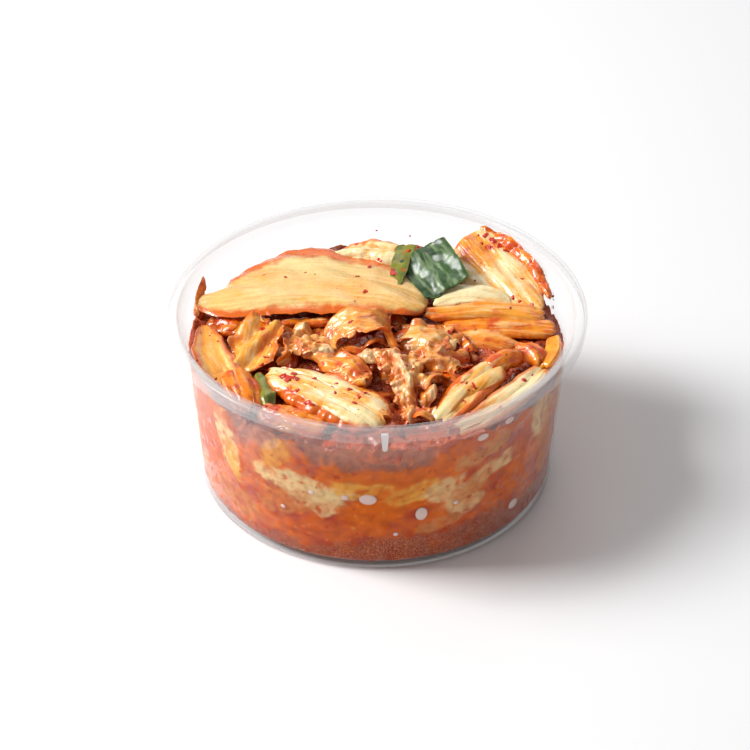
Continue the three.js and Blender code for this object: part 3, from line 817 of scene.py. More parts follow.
# (frame node, slot, direction across,
#  stations of x, y, z and the half widths to either side,
#  what sets its shape and looks apart)
LEAVES = [
    ("stem_front_lip", "pale", [0.4, 0.9, 0.1], [
        [-31, -34, 42, 3, 3.5], [-23, -38.5, 42.3, 5, 5], [-14, -42.5, 41.5, 4, 4],
    ], dict(STEM, thick=(1.2, 2.6), dome=0.8, stain=0.5, ribs=0.2, crinkle=0.3)),
    ("leaf_olive", "olive", [0.95, 0.2, 0.3], [
        [-32.5, -19, 43.6, 2, 2], [-31.5, -26, 43.6, 3, 3], [-29, -34, 42.2, 2.4, 2.4],
    ], dict(thick=(0.3, 0.6), dome=0.8, crumple=0.8, frill=1, fold=0.4, blunt=4)),
    ("stem_left_yellow", "stained", [0.9, 0.4, -0.1], [
        [-38.5, -19, 43.2, 4, 4], [-37, -26, 43.6, 5, 5], [-34.5, -33, 41.8, 4, 4],
    ], dict(STEM, thick=(2, 4.2), dome=1, stain=0.8)),
    ("leaf_pale_right", "white", [0.2, 0.95, 0.2], [
        [23, 2, 42, 3, 3], [31, -0.5, 43, 4.6, 4], [40.5, -3, 42.4, 3, 3],
    ], dict(thick=(0.4, 1.2), dome=1.2, stain=0.4, white=0.7, frill=0.5, edging=0.8, blunt=3)),
    ("stalk_right_lower", "stained", [0, 0.98, 0.2], [
        [19, 6, 43.4, 2.4, 2.4], [34, 4, 44.2, 3.8, 3.6], [50, 3.5, 43.6, 3.8, 3.4],
    ], dict(STEM, thick=(1.0, 2.4), dome=0.4, stain=0.5, ribs=0.3)),
    ("stalk_right_upper", "stained", [0, 0.97, 0.25], [
        [14, 9, 45, 2.4, 2.4], [30, 9.3, 46.2, 3, 3], [47, 8, 45, 3, 2.8],
    ], dict(STEM, thick=(1.0, 2.2), dome=0.4, stain=0.36, ribs=0.3)),
    ("stem_white_back", "white", [0, 0.97, 0.24], [
        [17, 15, 45, 2.6, 3], [24, 15.8, 46.6, 3.2, 4.6], [32, 14.7, 46.6, 2.6, 4.4],
        [38, 13, 45.2, 2, 2.4],
    ], dict(STEM, thick=(1, 2.2), dome=0.3, stain=0.1, white=1, flakes=0, edging=0.15)),
    ("leaf_fan", "stained", [0.87, 0.45, 0.22], [
        [45.5, 9, 45.3, 9, 4.6], [39, 22, 47.4, 15, 8], [33, 32.5, 49.2, 14.5, 8],
        [27.5, 41.5, 51.4, 10, 6],
    ], dict(
        thick=(0.4, 1.0), dome=0.5, stain=0.24, ribs=0.3, frill=0.8, fold=0.35, folds=7, rows=150,
        columns=80, red=0.1, white=0.8, flakes=0.8, edging=0.5, crumple=0.6, lumps=14,
    )),
    ("leaf_back_white", "white", [0.1, 0.97, 0.2], [
        [-14, 36, 45, 3.4, 3.4], [-4, 37.5, 47.2, 5.4, 5], [4, 35.5, 47.8, 5.4, 5],
        [11.5, 32, 46.5, 3.4, 3.4],
    ], dict(
        thick=(0.4, 1), dome=1.4, stain=0.2, white=0.9, frill=1.2, fold=0.5, crinkle=0.4, red=0.2,
        edging=0.8,
    )),
    ("leaf_wide_pale", "pale", [0, 1, -0.03], [
        [-50, 14.5, 44.4, 5.5, 4.5], [-42, 13.5, 45.8, 9, 8.5], [-31, 15.5, 46.8, 10.6, 18],
        [-20, 16.5, 47, 11.2, 24], [-8, 16, 47, 10.7, 20], [4, 14, 46.4, 9, 16], [13.5, 9, 45, 5.5, 8],
    ], dict(
        thick=(0.5, 1.6), dome=2.4, curl=0.8, stain=0.06, white=0.1, crumple=0.5, lumps=16, ribs=0.05,
        ragged=0.07, rows=200, columns=120, frill=0.9, ruffle=14, fold=0.16, folds=9, edging=1.0,
        flakes=0.06, blunt=8,
    )),
    ("scallion_strip", "olive", [0.93, -0.3, 0.2], [
        [5.4, 19, 48.4, 2, 2], [6.8, 28, 49.8, 2.6, 2.8], [8.6, 37, 50.8, 2.8, 3],
    ], dict(thick=(0.4, 0.8), dome=-0.6, blunt=30, cut=1.0, crumple=0.5, ragged=0.15)),
    ("scallion_square", "green", [0.85, 0.35, 0.38], [
        [20.5, 16.7, 48, 7.4, 7.4], [16.8, 25, 49.8, 7.8, 7.8], [13.1, 33.3, 51, 7.6, 7.6],
    ], dict(
        thick=(0.5, 0.8), dome=0.8, blunt=40, ragged=0.02, crumple=0.8, lumps=9, fold=0.35, folds=9,
        curl=0.9, rows=130, columns=90, flakes=0,
    )),
    ("leaf_left_inner", "pale", [0.9, -0.42, 0.1], [
        [-30, 3.5, 46.4, 5, 6.2], [-33, -6, 45.8, 7.5, 6.6], [-36.5, -17, 43.8, 5, 5.4],
    ], dict(
        thick=(0.4, 1.0), dome=0.6, stain=0.34, white=0.7, frill=2.4, ruffle=8, fold=1.0, folds=8,
        ragged=0.35, edging=0.8, crumple=0.8, ridge=0.6, rows=130, columns=60,
    )),
    ("stalk_left_wall", "pale", [0.88, 0.44, 0.2], [
        [-49, 5, 44.4, 3, 3], [-46.8, -7, 45, 5, 4.8], [-43.2, -17, 44.6, 5.4, 5.2],
        [-38, -28, 42.4, 4.6, 4.6],
    ], dict(STEM, dome=-0.8, stain=0.3, rows=140, blunt=5, edging=1, thick=(0.8, 2))),
    ("leaf_ruffled_left", "ruffled", [0.25, -0.95, 0.1], [
        [-28, -7, 43, 5.4, 5.4], [-19.5, -6, 45, 7.4, 7], [-12, -8.5, 44, 5.6, 5.6],
    ], dict(BLADE, dome=0.8, ruffle=5, ragged=0.35, frill=2.6)),
    ("leaf_membrane", "ruffled", [0.3, -0.95, -0.1], [
        [7.5, -2, 43.4, 5, 5.4], [14, -3.6, 46, 6, 6.4], [22, -5.5, 44, 4.8, 5.2],
    ], dict(
        BLADE, dome=1, brown=0.4, white=0.6, stain=0.25, crinkle=0.15, crumple=0.8, lumps=9, ridge=0.6,
        edging=0.8,
    )),
    ("leaf_folded", "ruffled", [0.35, -0.85, -0.4], [
        [9, -13, 44, 3.8, 5.6], [15, -14.5, 46.4, 4, 7], [21.5, -17.5, 43.8, 3.4, 6],
    ], dict(BLADE, dome=1.4, fold=0.8, folds=6, stain=0.5)),
    ("stem_front", "white", [0.55, 0.83, 0.05], [
        [-29, -19.5, 43, 4.4, 3.6], [-18.5, -25.5, 43.8, 8.4, 7], [-8, -32.5, 43.8, 9.2, 8],
        [2, -39, 42, 7.2, 6.6],
    ], dict(
        STEM, thick=(1.8, 4.4), dome=1.0, stain=0.22, white=0.9, rows=150, columns=80, red=0.2, flakes=1,
        edging=1.1, blunt=11, ragged=0.2, ribs=0.22,
    )),
    ("leaf_yellow_front", "stained", [0.75, 0.6, 0.3], [
        [-15, -15.5, 45.6, 3.2, 3.2], [-8, -19, 47.2, 4.2, 4], [-2.5, -26, 47, 3.8, 3.8],
    ], dict(
        thick=(0.4, 0.8), dome=0.8, frill=1.6, crumple=1.2, ridge=0.8, fold=0.3, stain=0.45, edging=0.8,
        blunt=10,
    )),
    ("leaf_frilly", "ruffled", [0.85, 0.5, 0.15], [
        [-5, -12.5, 45.6, 3.4, 3.4], [4, -17, 47.6, 4.6, 4.2], [9.5, -26, 45.8, 5, 4.6],
        [11.5, -39, 42.6, 6, 5.8],
    ], dict(
        BLADE, dome=1.4, frill=2.0, ruffle=3.4, crinkle=0.9, grain=3, fold=0.4, folds=6, ragged=0.35,
        rows=220, columns=90, stain=0.55, flakes=0.5,
    )),
    ("leaf_curl", "ruffled", [0.35, -0.93, -0.1], [
        [-13, -7, 41, 4, 4], [-12, -2.5, 47, 4.8, 4.8], [-6, -1, 50.6, 5.2, 5], [1.5, -3, 49.6, 5.6, 5.4],
        [6, -7.5, 43, 5, 5],
    ], dict(
        BLADE, dome=0.5, open=True, frill=1.0, ruffle=8, fold=0.25, crumple=0.5, crinkle=0.3, ridge=0.3,
        brown=0.6, thick=(0.5, 0.8), edging=0.6,
    )),
    ("stalk_right_lip", "white", [-0.62, 0.78, 0.1], [
        [20, -44, 41.2, 3.4, 3.4], [31, -35, 42.8, 4.6, 4.4], [40.5, -25, 43.8, 4, 4],
        [47, -15.5, 44, 2.6, 2.8],
    ], dict(
        STEM, thick=(1.2, 3.0), dome=-0.5, curl=0.8, stain=0.14, white=0.9, rows=150, edging=0.7,
        flakes=0.5,
    )),
    ("stalk_front_right", "pale", [-0.72, 0.68, 0.1], [
        [17.5, -38.5, 42, 3.4, 3], [24.5, -28.5, 44.2, 5.2, 5], [33, -18.5, 45.4, 4.4, 4],
    ], dict(
        STEM, thick=(1.2, 3.2), dome=0.7, stain=0.2, white=0.6, edging=1.2, flakes=0.8, fold=0.35,
        folds=4.5, ribs=0.3,
    )),
    ("leaf_roll", "stained", [-0.6, 0.78, 0.15], [
        [31, -19, 46, 5.4, 5.4], [35.6, -15.4, 46.8, 6.4, 6.4], [40.4, -12.6, 45.8, 5, 5],
    ], dict(
        thick=(0.5, 1), wrap=150, stain=0.62, crumple=0.5, frill=0.5, blunt=12, ribs=0.3, edging=0.8,
    )),
    ("leaf_knob", "pale", [0.6, 0.75, 0.2], [
        [39.5, -9, 45, 3, 3], [43, -11.5, 46.2, 4, 4], [45, -15.5, 45, 2.8, 2.8],
    ], dict(thick=(0.5, 1.6), dome=1.6, stain=0.6, crumple=0.8, frill=1, fold=0.4, folds=3, blunt=4)),
    ("carrot_strip", "carrot", [0.85, -0.3, 0.42], [
        [46.6, -17, 45.2, 2, 2], [49, -11, 46, 2.4, 2.4], [49.8, -4.5, 46, 2, 1.8],
    ], dict(thick=(1.6, 2.0), slab=8, dome=0.3, blunt=30, ragged=0.02, crumple=0.12, flakes=0.2)),
]

print("leaves and stalks in the table:", len(LEAVES))

# %% [markdown]
# Two pieces of spring onion and a strip of carrot lie among the cabbage. The green leaf is dark with
# grey-green streaks along its veins, a painted sheen, and a lighter cut edge. The strip beside it is
# yellow-green, and the carrot is smooth and orange, with red chili dust on all three.

# %% Spring onion and carrot
greens, tree, shader = new_material("scallion_leaf")
here = tree.here()
lie = tree.carried("lie", 1)
rim = tree.carried("rim", 2)
lines, creases = stretched(lie, 0.12, 0.5).noise(1.0, 3), stretched(lie, 0.1, 1.6).noise(1.0, 2)
patch, fine = here.noise(120, 3), here.noise(700, 2)
leaf = patch.step(0.3, 0.7).mix(srgb(30, 60, 26), srgb(52, 86, 30))
# Grey-green streaks along the veins, kept off the edges: a painted sheen.
leaf = (lines.step(0.46, 0.6) * (1 - rim.step(0.7, 0.95)) * 0.85).mix(leaf, srgb(116, 138, 96))
leaf = (creases.step(0.58, 0.7) * 0.6).mix(leaf, srgb(20, 42, 18))
leaf = (rim.step(0.93, 1.0) * 0.8).mix(leaf, srgb(96, 122, 20))
leaf = (fine.step(0.7, 0.76) * 0.6).mix(leaf, srgb(178, 60, 26))
feed(shader, Base_Color=leaf, Roughness=0.3 + patch * 0.2)
feed(shader, Normal=tree.bump(lines * 0.3 + patch, 0.15, 0.0005))
feed(shader, Coat_Weight=0.25, Coat_Roughness=0.2, Subsurface_Weight=0.1, Subsurface_Scale=0.001)

olive, tree, shader = new_material("yellow_green_leaf")
here = tree.here()
lie = tree.carried("lie", 1)
lines = stretched(lie, 0.1, 1.6).noise(1.0, 3)
patch, fine = here.noise(200, 3), here.noise(700, 2)
leaf = patch.step(0.3, 0.7).mix(srgb(132, 134, 30), srgb(80, 90, 20))
leaf = (lines.step(0.5, 0.8) * 0.5).mix(leaf, srgb(176, 166, 60))
leaf = (fine.step(0.6, 0.72) * 0.7).mix(leaf, srgb(176, 70, 26))
feed(shader, Base_Color=leaf, Roughness=0.2 + patch * 0.2)
feed(shader, Normal=tree.bump(lines + patch, 0.3, 0.0005))
feed(shader, Coat_Weight=0.3, Coat_Roughness=0.1, Subsurface_Weight=0.15, Subsurface_Scale=0.001)

carrots, tree, shader = new_material("pickled_carrot")
here = tree.here()
patch, fine = here.noise(240, 3), here.noise(800, 2)
root = patch.step(0.3, 0.7).mix(srgb(250, 170, 44), srgb(240, 138, 28))
root = (fine.step(0.62, 0.72) * 0.5).mix(root, srgb(190, 60, 18))
feed(shader, Base_Color=root, Roughness=0.2 + patch * 0.2)
feed(shader, Normal=tree.bump(patch + fine * 0.3, 0.3, 0.0004))
feed(shader, Subsurface_Weight=0.3, Subsurface_Scale=0.0015, Coat_Weight=0.3)

FINISH = {"green": greens, "olive": olive, "carrot": carrots}
print("finishes by slot:", list(FINISH), "and", cabbage.name, "for the rest")

# %% Leaves and stalks in their places
leaves = []
for seed, (name, slot, side, stations, looks) in enumerate(LEAVES):
    made = sheet_mesh(stations, side, seed + 1, **looks)
    leaves.append(leaf_object(name + "_leaf", [made], FINISH.get(slot, cabbage), slot, [name]))
print("leaves and stalks:", len(leaves), "triangles:", sum(2 * len(leaf.data.polygons) for leaf in leaves))

# %% [markdown]
# Between the large pieces the kimchi is chopped small: curled scraps of leaf and short pieces of stalk,
# half sunk in the sauce. No two are alike, so each is a small sheet of its own with random stations. The
# broader scraps make one object, and the narrow ribbons that lie over them make another.

# %% Scraps between the leaves
def on_a_stem(x, y):
    """True over one of the thick stems, which nothing small covers."""
    for name, _, _, stations, looks in LEAVES:
        if looks.get("slab") == 4:
            for u in np.linspace(0, 1, 9):
                at = spline(stations, [u])[0]
                if math.hypot(x - at[0], y - at[1]) < at[3:].mean() + 1.5:
                    return True
    return False


scraps, ribbons = [], []
rng = np.random.default_rng(5)
SCRAPS, RIBBONS = 90, 76
for k in range(SCRAPS + RIBBONS):
    ribbon = k >= SCRAPS
    angle, radius = rng.uniform(0, 2 * math.pi), (34 if ribbon else 46) * math.sqrt(rng.random())
    x, y = radius * math.sin(angle), -radius * math.cos(angle) - (8 if ribbon else 0)
    heading, length = rng.uniform(0, 2 * math.pi), rng.uniform(4, 8)
    if ribbon and on_a_stem(x, y):
        continue
    z = float(bed_top(x, y)) + (rng.uniform(0.8, 3.0) if ribbon else rng.uniform(-0.4, 1.2))
    width = rng.uniform(1.3, 2.6) if ribbon else rng.uniform(2, 4.5)
    stations = []
    for step in np.linspace(-1, 1, 5 if ribbon else 3):
        turn = heading + (rng.uniform(-0.5, 0.9) * step if ribbon else 0)
        drop = rng.uniform(0.6, 3) * step * step - (rng.uniform(-0.9, 0.9) if ribbon else 0)
        place = (x + step * length * math.cos(turn), y + step * length * math.sin(turn), z - drop)
        stations.append([*place, width * rng.uniform(0.7, 1.1), width * rng.uniform(0.7, 1.1)])
    lean = rng.uniform(-1.6, 1.6) if ribbon else rng.uniform(-0.6, 0.6)
    side = [-math.sin(heading), math.cos(heading), lean]
    looks = dict(stain=rng.uniform(0.3, 1.0), white=rng.uniform(0, 0.8), sunk=rng.uniform(0, 1))
    looks.update(flakes=0.5, rows=34, columns=16)
    if rng.random() < (0.1 if ribbon else 0.35):
        looks.update(STEM, thick=(0.8, 1.8), dome=rng.uniform(0.2, 0.8))
    else:
        looks.update(thick=(0.35, 0.5), dome=rng.uniform(0.2, 1), crumple=0.9, ridge=0.8, lumps=6)
        looks.update(frill=1.3, ruffle=4.5, crinkle=0.15, ragged=0.2)
        looks.update(brown=rng.uniform(0, 0.6), edging=rng.uniform(0.2, 0.9))
    (ribbons if ribbon else scraps).append(sheet_mesh(stations, side, 100 + k, **looks))

# Four more lie at listed places where sauce gathers: in front of the wide leaf, and up the wall at both sides.
GLAZED = dict(thick=(1.2, 2.6), crumple=1.0, lumps=4.5, rows=60, columns=24, sunk=0.4, stain=1.0, edging=1.2)
GLAZED_PLACES = [
    ([0.1, 1, 0.3], [[-48, 8, 43, 2.5, 2.5], [-41, 4, 44.4, 3.6, 3.4], [-31, 3.6, 43.8, 2.6, 2.6]]),
    ([0, 1, -0.2], [[-33, 4.6, 44.2, 1.5, 1.6], [-15, 5.4, 44.9, 1.9, 2], [3, 4.4, 44.4, 1.6, 1.6]]),
    ([0.9, 0.3, 0.3], [[-50.5, 10, 43.5, 2, 1.6], [-50.6, 15.5, 47.4, 2, 1.6], [-49.5, 21, 50, 1.6, 1.4]]),
    (
        [0.6, 0.5, 0.5],
        [
            [49.5, 14, 47, 1.2, 1.2], [45, 27, 50, 2, 1.8], [38, 36.5, 51.8, 2.4, 2],
            [30.5, 43, 52.4, 2.2, 1.6],
        ],
    ),
]
for k, (side, stations) in enumerate(GLAZED_PLACES):
    ribbons.append(sheet_mesh(stations, side, 400 + k, **GLAZED))
scrap = leaf_object("leaf_scraps", scraps, cabbage, "ruffled")
ribbon = leaf_object("leaf_ribbons", ribbons, cabbage, "ruffled")
print("scraps:", len(scraps), "ribbons:", len(ribbons))
print("triangles:", 2 * len(scrap.data.polygons), "and", 2 * len(ribbon.data.polygons))

# %% [markdown]
# Chili flakes and ground pepper are scattered by Geometry Nodes: points spread over the leaves and the
# packed kimchi, a small faceted grain on each, squeezed and turned at random, and then made real. The
# same tree makes the flakes, the finer pepper and the specks on the wall, with other sizes and seeds.


# %% A tree that scatters grains
def grain_tree(name):
    """A tree with inputs for density, size, flatness and seed, and a material, that covers a surface."""
    group = bpy.data.node_groups.new(name, "GeometryNodeTree")
    group.is_modifier = True
    interface = group.interface
    interface.new_socket("Surface", in_out="INPUT", socket_type="NodeSocketGeometry")
    kinds = dict.fromkeys(("Density", "Smallest", "Largest", "Flatness"), "Float")
    kinds.update(Seed="Int", Finish="Material")
    keys = {}
    for label, kind in kinds.items():
        made = interface.new_socket(label, in_out="INPUT", socket_type="NodeSocket" + kind)
        keys[label] = made.identifier
    interface.new_socket("Grains", in_out="OUTPUT", socket_type="NodeSocketGeometry")
    tree = Wire(group)
    given = group.nodes.new("NodeGroupInput")
    wire = {socket.name: Wire(group, socket) for socket in given.outputs if socket.name}
    clusters = tree.node("ShaderNodeTexNoise", Scale=90.0, Detail=3.0).step(0.48, 0.66)
    share = tree.node("GeometryNodeInputNamedAttribute", {"data_type": "FLOAT"}, Name="share")
    spread = tree.node(
        "GeometryNodeDistributePointsOnFaces", {"distribute_method": "RANDOM"}, _0=wire["Surface"],
        _4=wire["Density"] * clusters * share, _6=wire["Seed"],
    )
    turned = spread.output("Rotation")
    spin_z = tree.node(
        "FunctionNodeRandomValue", {"data_type": "FLOAT_VECTOR"}, _0=(-0.35, -0.35, 0.0),
        _1=(0.35, 0.35, 6.28), Seed=wire["Seed"],
    )
    turned = tree.node("FunctionNodeRotateRotation", {"rotation_space": "LOCAL"}, _0=turned, _1=spin_z)
    size = tree.node(
        "FunctionNodeRandomValue", {"data_type": "FLOAT"}, out=1, _2=wire["Smallest"], _3=wire["Largest"],
        Seed=wire["Seed"] + 1,
    )
    squeeze = tree.node(
        "FunctionNodeRandomValue", {"data_type": "FLOAT_VECTOR"}, _0=(0.6, 0.5, 1.0), _1=(1.5, 1.0, 1.0),
        Seed=wire["Seed"] + 2,
    )
    flat = tree.node("ShaderNodeCombineXYZ", X=1.0, Y=1.0, Z=wire["Flatness"])
    scale = squeeze.vector("MULTIPLY", _1=flat).vector("SCALE", Scale=size)
    ball = tree.node("GeometryNodeMeshIcoSphere", Radius=0.55, Subdivisions=1)
    dents = tree.node("ShaderNodeTexNoise", out=1, Scale=2.5).vector("SUBTRACT", _1=(0.5, 0.5, 0.5))
    ball = tree.node("GeometryNodeSetPosition", Geometry=ball, Offset=dents.vector("SCALE", Scale=0.7))
    placed = tree.node(
        "GeometryNodeInstanceOnPoints", Points=spread, Instance=ball, Rotation=turned, Scale=scale
    )
    real = tree.node("GeometryNodeRealizeInstances", Geometry=placed)
    painted = tree.node("GeometryNodeSetMaterial", Geometry=real, Material=wire["Finish"])
    out = group.nodes.new("NodeGroupOutput")
    group.links.new(painted.socket, out.inputs[0])
    return group, keys


grains, grain_keys = grain_tree("scattered_grains")
print("nodes in the grain tree:", len(grains.nodes))


# %% Grains as plain objects
def scatter(name, surface, finish, slot, **values):
    """A mesh of grains over a surface, made by the tree and kept as a plain object."""
    carrier = bpy.data.objects.new(name + "_carrier", surface)
    show(carrier)
    modifier = carrier.modifiers.new("grains", "NODES")
    modifier.node_group = grains
    for label, value in {**values, "Finish": finish}.items():
        modifier[grain_keys[label]] = value
    evaluated = carrier.evaluated_get(bpy.context.evaluated_depsgraph_get())
    mesh = bpy.data.meshes.new_from_object(evaluated)
    mesh.materials.pop(index=0)  # an empty slot that the ball brings, and nothing wears
    bpy.data.objects.remove(carrier)
    made = bpy.data.objects.new(name, mesh)
    mesh.name = name
    show(made)
    for polygon in mesh.polygons:
        polygon.use_smooth = True
    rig.ride(made, "root")
    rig.slot(made, slot)
    print(name, "triangles:", len(mesh.polygons))
    return made


print("inputs of the grain tree:", list(grain_keys))


# %% Chili flakes and pepper
def grain_finish(name, light, dark, roughness):
    material, tree, shader = new_material(name)
    here = tree.here()
    feed(
        shader,
        Base_Color=here.noise(400, 2).step(0.35, 0.65).mix(light, dark),
        Roughness=roughness + here.noise(900, 1) * 0.2,
        Normal=tree.bump(here.noise(1800, 2), 0.3, 0.0003),
    )
    feed(shader, Coat_Weight=0.4, Coat_Roughness=0.1)
    return material


def upward_faces(objects, lowest, least_up):
    """A mesh of the faces that look up, above a height in millimetres, with each one's share of flakes."""
    points, faces, shares = [], [], []
    for piece, plain in objects:
        sauce = piece.data.attributes.get("sauce")
        for polygon in piece.data.polygons:
            if polygon.normal.z > least_up and polygon.center.z > lowest * MM:
                faces.append(tuple(range(len(points), len(points) + len(polygon.vertices))))
                points += [piece.data.vertices[k].co[:] for k in polygon.vertices]
                share = sauce.data[polygon.vertices[0]].vector[1] if sauce else plain
                shares += [share] * len(polygon.vertices)
    mesh = bpy.data.meshes.new("upward_faces")
    mesh.from_pydata(points, [], faces)
    mesh.attributes.new("share", "FLOAT", "POINT").data.foreach_set("value", shares)
    return mesh


chili = grain_finish("chili_flake", srgb(214, 42, 4), srgb(174, 20, 0), 0.3)
pepper = grain_finish("ground_pepper", srgb(70, 36, 24), srgb(24, 14, 12), 0.5)
open_top = upward_faces([(piece, 0.3) for piece in (bed, scrap, ribbon, *leaves)], 38, 0.25)
for name, finish, slot, density, smallest, largest, flatness, seed in (
    ("chili_flakes", chili, "stained", 130000.0, 0.0004, 0.0016, 0.25, 4),
    ("chili_powder", chili, "stained", 160000.0, 0.00014, 0.0004, 0.6, 9),
    ("pepper_specks", pepper, "bed", 24000.0, 0.0002, 0.0005, 0.6, 21),
):
    scatter(
        name, open_top, finish, slot, Density=density, Smallest=smallest, Largest=largest,
        Flatness=flatness, Seed=seed,
    )

# %% [markdown]
# A few flakes are as large as a grain of rice. Each is a scrap of chili skin, a small sheet laid on
# whatever lies under it, found by a ray straight down.

# %% Large flakes
CHILI_SKIN = [
    (5.1, 25.2, 2.2), (-23.9, -23.9, 1.6), (-25.6, -22.9, 1.4), (-22.2, -24.8, 1.5), (-24.5, -25.2, 1.3),
    (-22.8, -22.6, 1.2), (-18.8, -34.6, 1.4), (-17.4, -35.4, 1.2), (-6.0, -35.8, 1.1), (-17.1, -24.6, 1.2),
    (-21.6, -29.2, 1.1), (-11.0, -27.4, 0.8), (33.9, 37.4, 1.6), (35.5, 35.5, 1.4), (31.5, 39.5, 1.3),
    (37.5, 33.5, 1.2), (20.4, -1.4, 1.1), (44.2, 11.2, 1.1), (-3.2, 13.8, 1.0), (-5.5, 22.3, 0.9),
    (1.1, 32.5, 1.1), (-2.1, 28.0, 1.0), (-32.1, 0.1, 1.2), (-30.5, -13.6, 1.2), (24, -33, 0.9),
    (26.5, -27, 0.8),
]
SKIN = dict(thick=(0.12, 0.22), crumple=0.3, lumps=1.6, ragged=0.8, rows=16, columns=10)
below = BVHTree.FromPolygons([v.co for v in open_top.vertices], [p.vertices for p in open_top.polygons])
skins = []
for k, (x, y, size) in enumerate(CHILI_SKIN):
    hit, slope, _, _ = below.ray_cast(Vector((x, y, 90)) * MM, Vector((0, 0, -1)))
    if hit is None:
        continue
    run = slope.cross(Vector((math.cos(2.4 * k), math.sin(2.4 * k), 0))).normalized()
    across = slope.cross(run)
    at = hit / MM + slope * 0.12
    stations = [[*(at + run * size * step), 0.5 * size, 0.42 * size] for step in (-0.8, 0, 0.7)]
    skins.append(sheet_mesh(stations, list(across), 600 + k, **SKIN))
leaf_object("chili_skin", skins, chili, "stained")
print("large flakes:", len(skins))

# %% [markdown]
# Where the tub was filled, sauce has splashed on the bare wall under the rim. The specks come from the
# same tree, and lie on strips of the wall's inside.

# %% Splashes on the bare wall
def wall_band(low, high, start, end, columns=90):
    """A strip of the wall's inside between two heights and two angles, facing the axis."""
    points, faces = [], []
    for z in (low, high):
        for a in np.radians(np.linspace(start, end, columns)):
            r = inner_radius(z) - 0.05
            points.append((r * math.sin(a) * MM, -r * math.cos(a) * MM, z * MM))
    for j in range(columns - 1):
        faces.append((j + 1, j, columns + j, columns + j + 1))
    mesh = bpy.data.meshes.new("wall_band")
    mesh.from_pydata(points, [], faces)
    mesh.attributes.new("share", "FLOAT", "POINT").data.foreach_set("value", [1.0] * len(points))
    return mesh


splash = grain_finish("dried_splash", srgb(236, 150, 84), srgb(206, 96, 44), 0.3)
for name, band, density, largest, flatness, seed in (
    ("wall_splashes", (43, 49, 100, 260), 22000.0, 0.001, 0.15, 3),
    ("wall_smear", (43, 48.8, 106, 150), 420000.0, 0.0014, 0.1, 5),
    ("wall_drops", (44, 49, -60, 90), 14000.0, 0.0009, 0.15, 8),
):
    scatter(
        name, wall_band(*band), splash, "stained", Density=density, Smallest=0.0002, Largest=largest,
        Flatness=flatness, Seed=seed,
    )

# %% [markdown]
# Lower down, a few flat air bubbles are trapped between the wall and the food. Each is a squashed ball
# bent round the wall, pale because light turns back where there is no brine behind the plastic.

# %% Trapped bubbles
bubble, tree, shader = new_material("trapped_air")
here = tree.here()
feed(
    shader,
    Base_Color=here.noise(300, 2).mix(srgb(236, 214, 206), srgb(206, 160, 146)),
    Roughness=0.12 + here.noise(500, 1) * 0.1,
    Normal=tree.bump(here.noise(400, 1), 0.1, 0.0003),
)
# (degrees right of the front, height, half width, half height)
BUBBLES = [
    (-2.5, 25.8, 2.45, 1.75), (-9.5, 26, 1, 0.9), (13.9, 19.5, 1.75, 2.2), (48.9, 10.3, 2, 1.5),
    (-20, 26, 0.9, 0.7), (33, 41.5, 1.8, 1.1), (43, 43, 1.6, 1.0), (6, 13, 0.7, 0.6), (-30, 18, 0.8, 0.6),
    (25, 21, 0.8, 0.7),
]
rng = np.random.default_rng(2)
for k in range(26):
    BUBBLES.append((rng.uniform(75, 290), rng.uniform(7, 36), rng.uniform(0.5, 2.0), rng.uniform(0.5, 1.6)))
points, faces = [], []
for degrees, height, wide, tall in BUBBLES:
    start = len(points)
    radius = inner_radius(height) + 0.28
    for i in range(7):
        polar = math.pi * i / 6
        for j in range(20 if 0 < i < 6 else 1):
            a = 2 * math.pi * j / 20
            across, rise = math.sin(polar) * math.cos(a), math.sin(polar) * math.sin(a)
            turn = math.radians(degrees) + across * wide / MEAN_RADIUS
            r = radius + 0.12 * math.cos(polar)
            points.append((r * math.sin(turn), -r * math.cos(turn), height + rise * tall))
    ring = lambda i, j: start + (0 if i == 0 else 1 + (i - 1) * 20 + j % 20 if i < 6 else 101)
    for i in range(6):
        for j in range(20):
            quad = [ring(i, j), ring(i + 1, j), ring(i + 1, j + 1), ring(i, j + 1)]
            faces.append(tuple(dict.fromkeys(quad)))
bubbles = mesh_object("trapped_bubbles", points, faces, bubble)
weld(bubbles, 0.001)
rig.ride(bubbles, "root")
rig.slot(bubbles, "bed")
print("bubbles:", len(BUBBLES))

# %% [markdown]
# The stage is a broad white table with one large soft light from the left, a weaker one from behind
# and an even white sky, so the shadow falls softly to the right. The plain view transform keeps the
# strong oranges of the food, which the filmic one would pale.

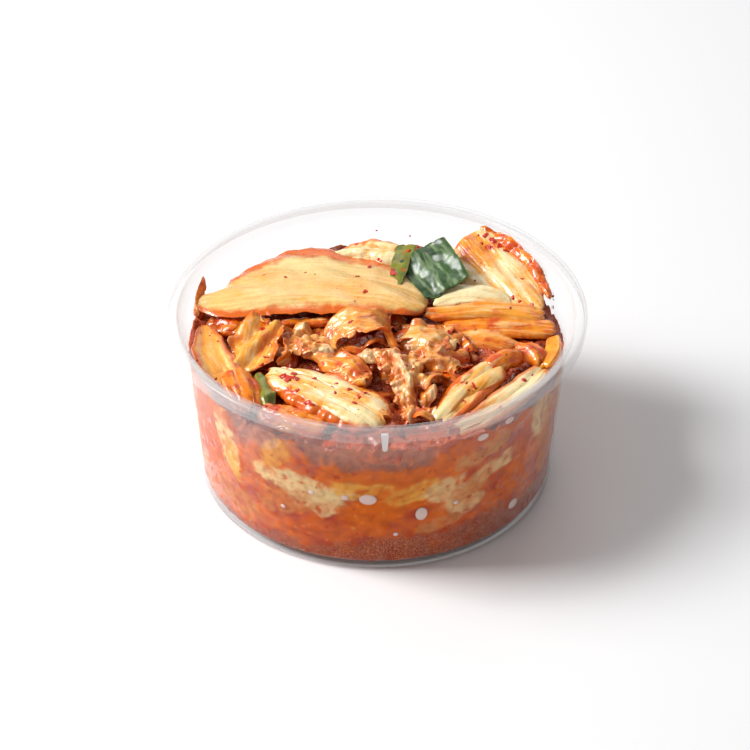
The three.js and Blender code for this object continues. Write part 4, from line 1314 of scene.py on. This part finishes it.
# %% Table and light
table, tree, shader = new_material("white_table")
cloud = tree.here().noise(4, 2)
feed(shader, Base_Color=cloud.mix(srgb(242, 242, 243), srgb(246, 246, 246)), Roughness=0.7)
REACH = 40000
corners = [(-REACH, -REACH, 0), (REACH, -REACH, 0), (REACH, REACH, 0), (-REACH, REACH, 0)]
floor = mesh_object("table_top", corners, [(0, 1, 2, 3)], table)
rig.stage(floor)


def soft_light(name, place, size, watts, color=(1, 1, 1)):
    """A square light at a place in metres, turned to the tub."""
    data = bpy.data.lights.new(name, "AREA")
    data.shape, data.size, data.energy, data.color = "SQUARE", size, watts, color
    lamp = bpy.data.objects.new(name, data)
    lamp.location = place
    lamp.rotation_euler = (Vector((0, 0, 0.03)) - Vector(place)).to_track_quat("-Z", "Y").to_euler()
    show(lamp)


soft_light("window", (-0.78, 0.04, 0.7), 0.42, 14.3)
soft_light("back_fill", (0.1, 1.1, 0.9), 0.8, 2.5)
world = bpy.data.worlds.new("white_room")
world.use_nodes = True
bpy.context.scene.world = world
background = world.node_tree.nodes["Background"]
background.inputs["Color"].default_value = (1, 1, 1, 1)
background.inputs["Strength"].default_value = 0.33
bpy.context.scene.view_settings.view_transform = "Standard"

print("view transform:", bpy.context.scene.view_settings.view_transform)

# %% [markdown]
# The camera looks down at 35 degrees through a long lens from most of a metre away, so the near and the
# far side of the rim come out almost the same size.

# %% Camera
camera = bpy.data.objects.new("camera", bpy.data.cameras.new("camera"))
camera.data.lens, camera.data.sensor_width = 144, 36
tilt, distance, aim_height = math.radians(35.28), 0.85095, 0.03061
camera.location = (-0.00035, -distance * math.cos(tilt), aim_height + distance * math.sin(tilt))
camera.rotation_euler = (math.pi / 2 - tilt, 0, 0)
camera.data.clip_start = 0.01
show(camera)
bpy.context.scene.camera = camera
print("camera at", [round(c, 4) for c in camera.location])

# %% [markdown]
# Last, the size of what is shown is written down beside that of the CAD model.

# %% The sizes
json.dump({"cad": cad_box, "shown": [list(corner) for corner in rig.bounds()]}, open("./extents.json", "w"))
print("sizes:", open("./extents.json").read())
